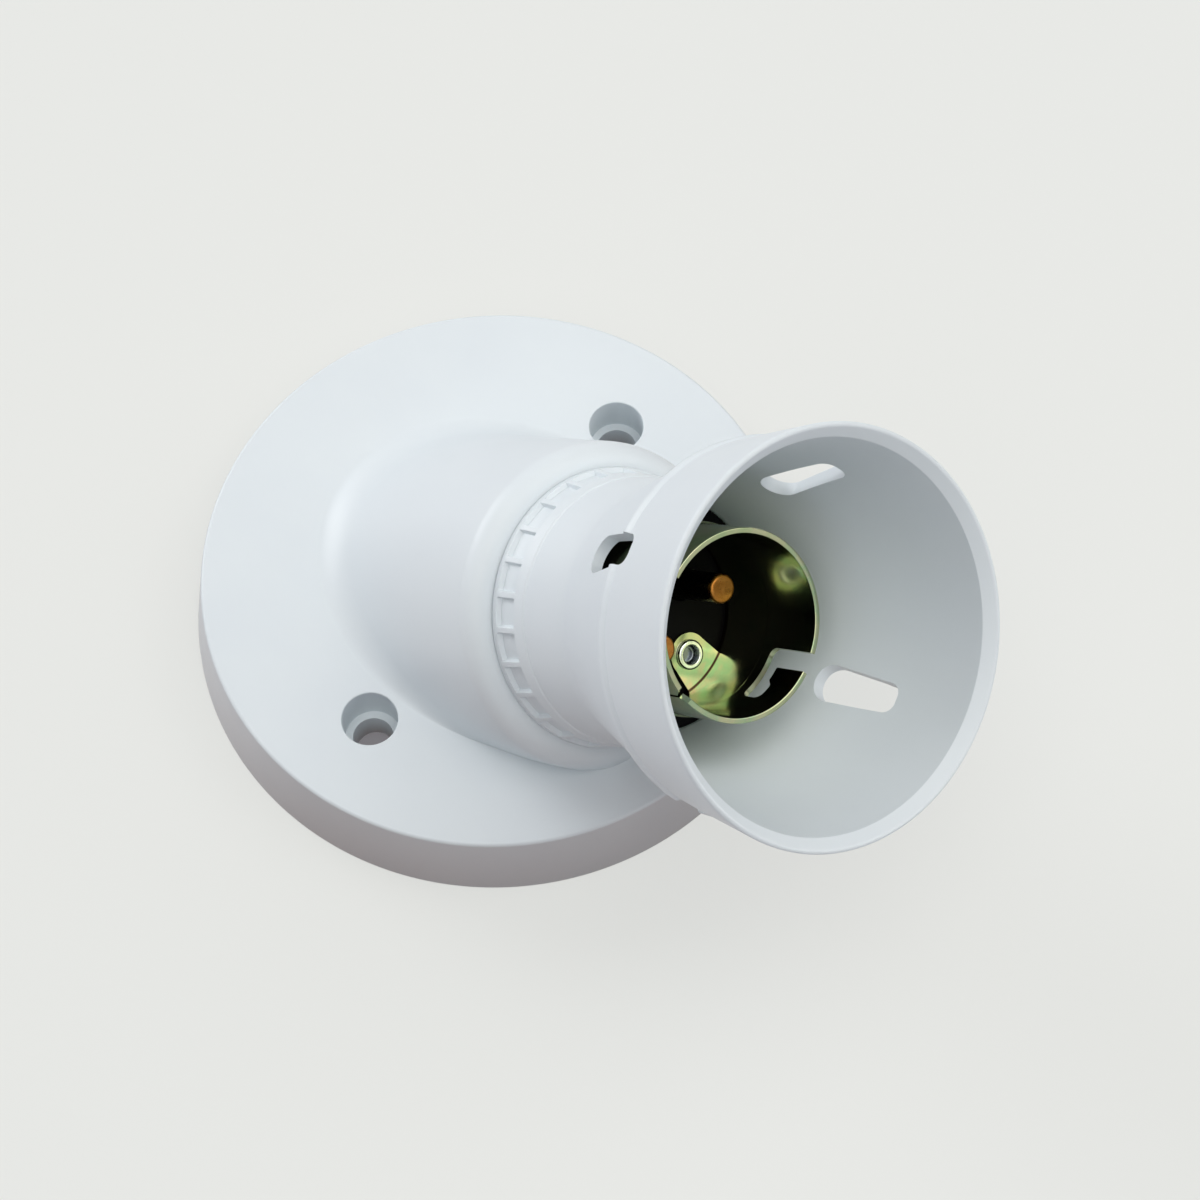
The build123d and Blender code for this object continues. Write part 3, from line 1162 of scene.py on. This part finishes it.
    def build(self) -> bpy.types.Object:
        """Cut the vent slots in the body.

        Returns:
            The finished moulding.
        """
        shaper = Shaper("skirt_shell", self.body().on_lamp())
        step = 360 / self.slot_count
        for index in range(self.slot_count):
            shaper.join(Join.CUT, self.slot().turned(self.slot_phase + step * index).on_lamp())
        return shaper.finish(WHITE.material(), "skirt", "white_moulding", "skirt")


@dataclass
class Insert:
    """Contact block, bayonet barrel, rivets, plungers, springs and terminals; in millimetres and degrees."""

    clock: float = -6.0
    nose_r: float = 15.3
    spigot_r: float = 12.95
    spigot_depth: float = 3.0
    disc_edge: float = 0.3
    barrel_r: float = 11.2
    sheet: float = 0.7
    sheet_edge: float = 0.1
    rim_edge: float = 0.12
    bend_round: float = 0.2
    gauge: float = 9.5
    foot_wider: float = 0.25
    foot_slope: float = 0.4
    seam_slit: float = 0.35
    seam_notch: float = 1.3
    seam_angle: float = 275.0
    seam_inside: float = 1.0
    pin_slot_width: float = 2.5
    pin_slot_depth: float = 6.6
    pin_slot_turn: float = 25.3
    pin_foot_share: float = 0.98
    pin_end_share: float = 0.9
    pin_mouth_round: float = 0.25
    pin_hook_r: float = 1.38
    pin_hook_rise: float = 0.8
    hook_end_share: float = 0.7
    hook_top_share: float = 0.75
    hook_top_round_share: float = 0.6
    hook_neck_share: float = 1.3
    hook_neck_round: float = 0.5
    longest_run: float = 0.4
    tab_turn: float = 6.5
    tab_width: float = 6.7
    tab_nose_r: float = 2.8
    tab_hole_r: float = 7.65
    tab_root_count: int = 17
    eyelet_shank_r: float = 1.55
    eyelet_bore_r: float = 1.2
    eyelet_bore_depth: float = 1.3
    eyelet_floor_round: float = 0.3
    eyelet_head_r: float = 1.95
    eyelet_head: float = 0.55
    eyelet_head_round: float = 0.33
    eyelet_under_round: float = 0.06
    eyelet_mouth_round: float = 0.22
    eyelet_foot_r: float = 1.95
    eyelet_foot: float = 0.4
    eyelet_foot_round: float = 0.15
    eyelet_seat_round: float = 0.05
    eyelet_depth: float = 3.0
    plunger_pitch_r: float = 5.74
    plunger_r: float = 1.9
    plunger_stand: float = 7.0
    plunger_tip: float = 0.45
    bush_chamfer: float = 0.3
    collar_r: float = 2.8
    collar: float = 1.2
    collar_chamfer: float = 0.3
    terminal_r: float = 3.9
    terminal_edge: float = 0.3
    terminal_bore_r: float = 2.85
    terminal_length: float = 18.0
    bore_depth: float = 10.0
    tower_wall: float = 1.5
    wire_hole_r: float = 1.5
    wire_hole_depth: float = 6.5
    spring_wire_r: float = 0.3
    spring_gap: float = 0.2
    spring_play: float = 0.05
    spring_turns: int = 5
    spring_ease: float = 0.85
    screw_r: float = 1.5
    screw_rise: float = 3.8
    screw_tip_chamfer: float = 0.2
    screw_head_r: float = 2.4
    screw_head: float = 1.3
    screw_head_round: float = 0.3
    screw_under_round: float = 0.1
    screw_drive: float = 0.8
    screw_drive_reach: float = 4.0
    screw_drive_depth: float = 0.7
    over: float = 2.0
    barrel_sides: int = 240
    disc_sides: int = 160
    post_sides: int = 72
    pin_sides: int = 64
    hole_sides: int = 48
    cross_sides: int = 40
    wire_sides: int = 12
    steps_per_turn: int = 32

    @property
    def foot(self) -> float:
        """Lower end of the terminals and of the block's tower."""
        return AT.terminal_top - self.terminal_length

    @property
    def foot_r(self) -> float:
        """Inner radius of the barrel's wider foot."""
        return self.barrel_r + self.foot_wider

    def placed(self, surface: Surface, side: int) -> Surface:
        """A surface at its place on one side of the axis, in the row frame."""
        return surface.turned(self.clock + 180 * side).on_lamp()

    def on_tab(self, surface: Surface, side: int) -> Surface:
        """A surface about the rivet's axis on one side, in the row frame."""
        return self.placed(surface.moved(x=self.tab_hole_r).turned(self.tab_turn), side)

    def on_contact(self, surface: Surface, side: int) -> Surface:
        """A surface about the plunger's axis on one side, in the row frame."""
        return self.placed(surface.moved(y=self.plunger_pitch_r), side)

    def on_screw(self, surface: Surface, side: int) -> Surface:
        """A surface about the clamp screw's axis on one side, in the row frame."""
        return self.placed(surface.laid().moved(z=self.foot + self.screw_rise).turned(90), side)

    def block(self) -> bpy.types.Object:
        """Disc with a recess for the barrel, spigot and tower, cut for terminals, rivets and screws.

        Returns:
            The finished block.
        """
        gap = AT.slide_gap
        below = self.foot - self.over
        above = AT.disc_top + self.over
        corners = [
            (self.spigot_r, AT.seat - self.spigot_depth, 0),
            (self.spigot_r, AT.seat, 0),
            (self.nose_r, AT.seat, self.disc_edge),
            (self.nose_r, AT.disc_top, self.disc_edge),
            (0, AT.disc_top, 0),
        ]
        disc = lathe(rounded(corners, steps=4)[:-1], around(self.disc_sides))
        tower_r = self.terminal_r + gap + self.tower_wall
        outline = slot_outline(2 * (self.plunger_pitch_r + tower_r), 2 * tower_r)
        shaper = Shaper("contact_block_body", self.placed(disc, 0))
        shaper.join(Join.ADD, self.placed(prism(outline, self.foot, AT.seat - self.spigot_depth / 2), 0))
        recess = rod(self.foot_r + self.sheet + gap, AT.barrel_floor, above, self.disc_sides)
        shaper.join(Join.CUT, self.placed(recess, 0))
        bush = self.plunger_r + gap
        pocket = [
            [self.terminal_r + gap, below],
            [self.terminal_r + gap, AT.terminal_top + gap],
            [bush, AT.terminal_top + gap],
            [bush, AT.barrel_floor - self.bush_chamfer],
            [bush + self.bush_chamfer, AT.barrel_floor],
            [bush + self.bush_chamfer, above],
        ]
        seat = AT.barrel_floor - self.eyelet_depth
        well = [
            [self.eyelet_foot_r + gap, below],
            [self.eyelet_foot_r + gap, seat],
            [self.eyelet_shank_r + gap, seat],
            [self.eyelet_shank_r + gap, above],
        ]
        window = rod(self.screw_head_r + 2 * gap, self.plunger_pitch_r, self.nose_r, self.hole_sides)
        for side in SIDES:
            shaper.join(
                Join.CUT,
                self.on_contact(lathe(np.array(pocket), around(self.pin_sides)), side),
                self.on_tab(lathe(np.array(well), around(self.hole_sides)), side),
                self.on_screw(window, side),
            )
        return shaper.finish(BLACK.material(), "insert", "black_moulding", "contact_block")

    def pin_slot(self) -> Surface:
        """J-slot outline on the unrolled barrel, wrapped round it: X is arc length, Y is depth below the rim.

        Returns:
            The closed surface, reaching past both faces of the sheet.
        """
        half = self.pin_slot_width / 2
        depth = self.pin_slot_depth
        run = math.radians(self.pin_slot_turn) * self.barrel_r
        hook = self.pin_hook_r
        hook_top = depth - self.pin_hook_rise - hook
        corners = [
            (run - half, -self.over, 0),
            (run + half, -self.over, 0),
            (run + half, depth + half, half * self.pin_foot_share),
            (-hook, depth + half, half * self.pin_end_share),
            (-hook, hook_top, hook * self.hook_end_share),
            (hook * self.hook_top_share, hook_top, hook * self.hook_top_round_share),
            (hook * self.hook_neck_share, depth - half, self.hook_neck_round),
            (run - half, depth - half, self.pin_mouth_round),
        ]
        flat = divided(rounded(corners, steps=8, closed=True), self.longest_run)
        radii = np.array([[self.barrel_r - self.over], [self.barrel_r + self.over]])
        return skin(polar(radii, flat[:, 0] / self.barrel_r, AT.rim - flat[:, 1]))

    def tab(self) -> Surface:
        """Tongue turned in at the barrel's foot: sides closing in to a round nose, carried up by the sheet.

        Returns:
            The closed surface, along X of the lamp's frame.
        """
        middle = self.foot_r + self.sheet / 2
        angle = np.linspace(-1, 1, self.tab_root_count) * math.asin(self.tab_width / 2 / middle)
        root = np.stack([middle * np.cos(angle), middle * np.sin(angle)], axis=1)
        outline = np.concatenate([root, half_circle(self.tab_hole_r, self.tab_nose_r)])
        return prism(outline, AT.barrel_floor, AT.barrel_floor + self.sheet).turned(self.tab_turn)

    def seam(self) -> Surface:
        """Slit down the barrel that opens to a notch at the rim.

        Returns:
            The closed surface, reaching past both faces of the sheet.
        """
        width = self.seam_slit / 2
        flare = self.seam_notch / math.sqrt(2)
        low, high = AT.barrel_floor - self.over, AT.rim + self.over
        outline = np.array(
            [
                [-width, low],
                [width, low],
                [width, AT.rim - flare],
                [flare + self.over, high],
                [-flare - self.over, high],
                [-width, AT.rim - flare],
            ]
        )
        radii = (self.barrel_r - self.seam_inside, self.barrel_r + self.over)
        return skin(np.array([np.column_stack([np.full(len(outline), r), outline]) for r in radii]))

    def barrel(self) -> bpy.types.Object:
        """Rolled sheet with J-slots, a notched seam and two tabs turned in at the foot.

        Returns:
            The finished barrel.
        """
        inner = self.barrel_r
        wide = self.foot_r
        sheet = self.sheet
        floor = AT.barrel_floor
        step = AT.rim - self.gauge
        corners = [
            (wide, floor, self.sheet_edge),
            (wide + sheet, floor, self.sheet_edge),
            (wide + sheet, step - self.foot_slope, self.bend_round),
            (inner + sheet, step, self.bend_round),
            (inner + sheet, AT.rim, self.rim_edge),
            (inner, AT.rim, self.rim_edge),
            (inner, step, self.bend_round),
            (wide, step - self.foot_slope, self.bend_round),
        ]
        shell = lathe(rounded(corners, steps=5, closed=True), around(self.barrel_sides), ring=True)
        shaper = Shaper("barrel_shell", self.placed(shell, 0))
        drill = rod(self.eyelet_shank_r + AT.slide_gap, floor - self.over, floor + self.over, self.hole_sides)
        for side in SIDES:
            shaper.join(Join.ADD, self.placed(self.tab(), side))
            shaper.join(Join.CUT, self.on_tab(drill, side), self.placed(self.pin_slot(), side))
        shaper.join(Join.CUT, self.seam().turned(self.clock + self.seam_angle).on_lamp())
        # The finish paints shade along the fold of each tab.
        finish = PASSIVATED.material(wide, floor + sheet)
        return shaper.finish(finish, "insert", "passivated_steel", "bayonet_barrel")

    def eyelet(self, side: int) -> bpy.types.Object:
        """Rivet with a rolled head round a blind bore, and a foot let into the spigot.

        Args:
            side: which of the two.

        Returns:
            The finished rivet.
        """
        top = AT.barrel_floor + self.sheet
        foot = AT.barrel_floor - self.eyelet_depth
        head = top + self.eyelet_head
        corners = [
            (0, foot - self.eyelet_foot, 0),
            (self.eyelet_foot_r, foot - self.eyelet_foot, self.eyelet_foot_round),
            (self.eyelet_foot_r, foot, self.eyelet_seat_round),
            (self.eyelet_shank_r, foot, 0),
            (self.eyelet_shank_r, top, 0),
            (self.eyelet_head_r, top, self.eyelet_under_round),
            (self.eyelet_head_r, head, self.eyelet_head_round),
            (self.eyelet_bore_r, head, self.eyelet_mouth_round),
            (self.eyelet_bore_r, head - self.eyelet_bore_depth, self.eyelet_floor_round),
            (0, head - self.eyelet_bore_depth, 0),
        ]
        body = lathe(rounded(corners)[1:-1], around(self.pin_sides))
        shaper = Shaper(f"eyelet_{side + 1}", self.on_tab(body, side))
        # Shade is painted in the bore, below its rounded mouth.
        finish = BRIGHT.material(head - self.eyelet_mouth_round)
        return shaper.finish(finish, "insert", "bright_steel", f"barrel_eyelet_{side + 1}")

    def plunger(self, side: int) -> bpy.types.Object:
        """Stepped pin with a softly rounded tip.

        Args:
            side: which of the two.

        Returns:
            The finished plunger.
        """
        top = AT.terminal_top
        tip = AT.disc_top + self.plunger_stand
        corners = [
            (self.collar_r - self.collar_chamfer, top - self.collar, 0),
            (self.collar_r, top - self.collar + self.collar_chamfer, 0),
            (self.collar_r, top, 0),
            (self.plunger_r, top, 0),
            (self.plunger_r, tip, self.plunger_tip),
            (0, tip, 0),
        ]
        body = lathe(rounded(corners, steps=8)[:-1], around(self.pin_sides))
        shaper = Shaper(f"contact_plunger_{side + 1}", self.on_contact(body, side))
        # Near-black shade is painted on the sides, below the rounded tip.
        finish = CONTACT.material(tip - self.plunger_tip)
        return shaper.finish(finish, f"plunger_{side + 1}", "brass", f"plunger_{side + 1}")

    def terminal(self, side: int) -> bpy.types.Object:
        """Post with a plunger bore above, a wire hole below and a cross hole for the screw.

        Args:
            side: which of the two.

        Returns:
            The finished terminal.
        """
        top = AT.terminal_top
        edge = (self.terminal_r, self.foot, self.terminal_edge)
        corners = [(0, self.foot, 0), edge, (self.terminal_r, top, 0)]
        post = lathe(rounded(corners, steps=4)[1:], around(self.post_sides))
        bore = rod(self.terminal_bore_r, top - self.bore_depth, top + self.over, self.pin_sides)
        wire = rod(self.wire_hole_r, self.foot - self.over, self.foot + self.wire_hole_depth, self.hole_sides)
        cross_end = self.plunger_pitch_r + self.terminal_r + self.over
        cross = rod(self.screw_r + AT.slide_gap, self.plunger_pitch_r, cross_end, self.cross_sides)
        shaper = Shaper(f"terminal_post_{side + 1}", self.on_contact(post, side))
        shaper.join(
            Join.CUT, self.on_contact(bore, side), self.on_contact(wire, side), self.on_screw(cross, side)
        )
        return shaper.finish(BRASS.material(), "insert", "brass", f"terminal_{side + 1}")

    def screw(self, side: int) -> bpy.types.Object:
        """Slotted clamp screw: shank and cheese head in one turned profile, with a driver slot.

        Args:
            side: which of the two.

        Returns:
            The finished screw.
        """
        seat = self.plunger_pitch_r + self.terminal_r + AT.slide_gap
        tip = self.plunger_pitch_r + self.wire_hole_r + AT.slide_gap
        top = seat + self.screw_head
        corners = [
            (self.screw_r - self.screw_tip_chamfer, tip, 0),
            (self.screw_r, tip + self.screw_tip_chamfer, 0),
            (self.screw_r, seat, 0),
            (self.screw_head_r, seat, self.screw_under_round),
            (self.screw_head_r, top, self.screw_head_round),
            (0, top, 0),
        ]
        body = lathe(rounded(corners, steps=5)[:-1], around(self.hole_sides))
        drive, reach = self.screw_drive / 2, self.screw_drive_reach
        slot = np.array([[-drive, -reach], [drive, -reach], [drive, reach], [-drive, reach]])
        cutter = prism(slot, top - self.screw_drive_depth, top + self.over)
        shaper = Shaper(f"clamp_screw_{side + 1}", self.on_screw(body, side))
        shaper.join(Join.CUT, self.on_screw(cutter, side))
        return shaper.finish(BRIGHT.material(), "insert", "bright_steel", f"terminal_screw_{side + 1}")

    def spring(self, side: int) -> bpy.types.Object:
        """Helix of wire: the angle grows evenly, the height slower at both ends.

        Args:
            side: which of the two.

        Returns:
            The finished spring.
        """
        low = AT.terminal_top - self.bore_depth + self.spring_wire_r + self.spring_play
        high = AT.terminal_top - self.collar - self.spring_wire_r - self.spring_play
        share = np.linspace(0, 1, self.spring_turns * self.steps_per_turn + 1)
        height = low + (high - low) * (self.spring_ease * smooth_step(share) + (1 - self.spring_ease) * share)
        radius = self.terminal_bore_r - self.spring_gap - self.spring_wire_r
        path = polar(radius, 2 * math.pi * self.spring_turns * share, height)
        coil = tube_along(path, self.spring_wire_r, self.wire_sides)
        shaper = Shaper(f"spring_coil_{side + 1}", self.on_contact(coil, side))
        piece = shaper.finish(SPRING.material(), "insert", "spring_steel", f"plunger_spring_{side + 1}")
        foot = low - self.spring_wire_r
        anchor = LAMP.to_row(np.array([0.0, 0.0, foot])) * MM
        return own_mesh(piece)

    def build(self) -> None:
        """Build every piece of the insert."""
        self.block()
        self.barrel()
        for side in SIDES:
            for piece in (self.eyelet, self.plunger, self.terminal, self.screw, self.spring):
                piece(side)


@dataclass
class Viewpoint:
    """The photograph's camera, in degrees and millimetres.

    Args:
        azimuth: direction of the camera from the origin, from +X towards +Y.
        elevation: height of the camera above the back plane.
        roll: turn about the line of sight.
        offset: where the origin lies in the camera's view, right and down.
        distance: from the camera to the origin along the line of sight.
        focal_share: focal length over the picture's width.
        sensor: width of the sensor.
        nearest: where the view begins, in metres.
    """

    azimuth: float = -52.15
    elevation: float = 64.59
    roll: float = -1.28
    offset: Span = (-13.8, 0.5)
    distance: float = 410.56
    focal_share: float = 2.502
    sensor: float = 36.0
    nearest: float = 0.01

    def place(self) -> None:
        """Put the scene's camera at the viewpoint."""
        az, el, roll = (math.radians(a) for a in (self.azimuth, self.elevation, self.roll))
        ahead = -np.array([math.cos(el) * math.cos(az), math.cos(el) * math.sin(az), math.sin(el)])
        level = np.cross(ahead, [0.0, 0.0, 1.0])
        level /= np.linalg.norm(level)
        plumb = np.cross(ahead, level)
        right = math.cos(roll) * level - math.sin(roll) * plumb
        down = math.sin(roll) * level + math.cos(roll) * plumb
        eye = -(right * self.offset[0] + down * self.offset[1] + ahead * self.distance) * MM
        data = bpy.data.cameras.new("camera")
        data.sensor_width = self.sensor
        data.lens = self.focal_share * self.sensor
        data.clip_start = self.nearest
        camera = bpy.data.objects.new("camera", data)
        bpy.context.scene.collection.objects.link(camera)
        pose = np.eye(4)
        pose[:3, :4] = np.stack([right, -down, -ahead, eye], axis=1)
        camera.matrix_world = Matrix(pose.tolist())
        bpy.context.scene.camera = camera


@dataclass
class Softbox:
    """A round area lamp that faces the object.

    Args:
        name: lamp name.
        azimuth: its direction from the origin, from +X towards +Y, in degrees.
        elevation: its height above the floor, in degrees.
        power: in watts.
        colour: light colour.
        size: its width, in metres.
        distance: from the origin, in metres.
    """

    name: str
    azimuth: float
    elevation: float
    power: float
    colour: Colour
    size: float = 1.1
    distance: float = 1.3

    def hang(self) -> None:
        """Put the lamp in the scene."""
        data = bpy.data.lights.new(self.name, "AREA")
        data.shape = "DISK"
        data.size = self.size
        data.energy = self.power
        data.color = self.colour
        lamp = bpy.data.objects.new(self.name, data)
        bpy.context.scene.collection.objects.link(lamp)
        az, el = math.radians(self.azimuth), math.radians(self.elevation)
        away = Vector((math.cos(el) * math.cos(az), math.cos(el) * math.sin(az), math.sin(el)))
        lamp.location = away * self.distance
        lamp.rotation_euler = away.to_track_quat("Z", "Y").to_euler()


@dataclass
class Studio:
    """Plain pale floor, soft lamps and an even sky.

    Args:
        floor_half: half the floor's width, in metres.
        floor_drop: how far it lies under the back plane, in metres.
        floor_colour: its colour where it is seen.
        floor_roughness: its roughness.
        floor_shine: level of its mirrored light.
        floor_glow: share of the backdrop's even light in what is seen of it.
        painted_under_shade: painted shade on what shows of it under the base, through the fixing holes.
        painted_under_shade_span: distances from the centre at which that painted shade ends, in millimetres.
        bounce_near: colour of the light it throws back close by.
        bounce_far: colour of that light farther off.
        bounce_span: distances at which one goes over to the other, in millimetres.
        backdrop: colour of the surroundings where they are seen or mirrored.
        sky: colour of the sky's light.
        sky_strength: its level.
        lamps: the lamps.
    """

    floor_half: float = 6.0
    floor_drop: float = 0.0002
    floor_colour: Colour = (0.78, 0.79, 0.77)
    floor_roughness: float = 0.9
    floor_shine: float = 0.1
    floor_glow: float = 0.7
    painted_under_shade: Colour = (0.16, 0.15, 0.17)
    painted_under_shade_span: Span = (36.0, 39.0)
    bounce_near: Colour = (0.2, 0.04, 0.0)
    bounce_far: Colour = (0.76, 0.75, 0.78)
    bounce_span: Span = (70.0, 105.0)
    backdrop: Colour = (0.81, 0.825, 0.8)
    sky: Colour = (0.86, 0.88, 1.0)
    sky_strength: float = 0.19
    lamps: list[Softbox] = field(
        default_factory=lambda: [
            Softbox("overhead", 0.0, 90.0, 2.0, (1.0, 0.97, 0.92)),
            Softbox("back", 60.0, 65.0, 4.7, (1.0, 0.97, 0.92)),
            Softbox("front", 300.0, 65.0, 4.8, (1.0, 0.96, 0.92)),
            Softbox("mouth", 45.0, 40.0, 4.3, (1.0, 0.98, 0.95)),
            Softbox("side", 180.0, 21.0, 8.4, (0.97, 0.97, 0.98), 0.7),
        ]
    )

    def floor(self) -> None:
        """Lay a wide square under the object, just below its back plane."""
        half = self.floor_half
        corners = [(x * half, y * half, -self.floor_drop) for x, y in ((-1, -1), (1, -1), (1, 1), (-1, 1))]
        mesh = bpy.data.meshes.new("floor")
        mesh.from_pydata(corners, [], [[0, 1, 2, 3]])
        piece = bpy.data.objects.new("floor", mesh)
        bpy.context.scene.collection.objects.link(piece)
        mesh.materials.append(self.floor_finish())

    def floor_finish(self) -> bpy.types.Material:
        """Matt floor, pale with a thin shadow where seen or mirrored and painted shade under the base; it
        throws back less light close by.

        Returns:
            The material.
        """
        graph = MaterialGraph("floor")
        graph.dress(
            Base_Color=(*self.floor_colour, 1.0),
            Roughness=self.floor_roughness,
            Specular_IOR_Level=self.floor_shine,
        )
        ends = (0.0, 1.0)
        # Painted shade: the floor seen under the base is dark whatever the lamps do.
        open_floor = graph.reach(graph.place, *self.painted_under_shade_span)
        seen_colour = graph.ramp(open_floor, ends, (self.painted_under_shade, self.backdrop))
        glow = graph.made("ShaderNodeEmission", {"Color": seen_colour})
        matt = graph.shader.outputs["BSDF"]
        pale = graph.made("ShaderNodeMixShader", {0: self.floor_glow, 1: matt, 2: glow})
        away = graph.reach(graph.place, *self.bounce_span)
        bounce_colour = graph.ramp(away, ends, (self.bounce_near, self.bounce_far))
        bounce = graph.made("ShaderNodeBsdfDiffuse", {"Color": bounce_colour})
        either = graph.made("ShaderNodeMixShader", {0: graph.seen(), 1: bounce, 2: pale})
        graph.feed(graph.tree.nodes["Material Output"].inputs["Surface"], either)
        return graph.material

    def world(self) -> bpy.types.World:
        """Even sky that lights a little, with the pale backdrop where it is seen or mirrored.

        Returns:
            The world.
        """
        world = bpy.data.worlds.new("studio")
        world.use_nodes = True
        graph = Graph(world.node_tree)
        sky = graph.tree.nodes["Background"]
        graph.feed(sky.inputs["Color"], (*self.sky, 1.0))
        graph.feed(sky.inputs["Strength"], self.sky_strength)
        pale = graph.made("ShaderNodeBackground", {"Color": (*self.backdrop, 1.0)})
        either = graph.made("ShaderNodeMixShader", {0: graph.seen(), 1: sky.outputs["Background"], 2: pale})
        graph.feed(graph.tree.nodes["World Output"].inputs["Surface"], either)
        return world

    def build(self) -> None:
        """Set up the floor, the lamps, the sky and the plain view."""
        self.floor()
        for lamp in self.lamps:
            lamp.hang()
        bpy.context.scene.world = self.world()
        bpy.context.scene.view_settings.view_transform = "Standard"


def main() -> None:
    """Build the pieces, then the studio, then the camera."""
    logging.basicConfig(level=logging.INFO, format="%(name)s %(message)s")
    Base().build()
    Skirt().build()
    Insert().build()
    Studio().build()
    Viewpoint().place()


if __name__ == "__main__":
    main()
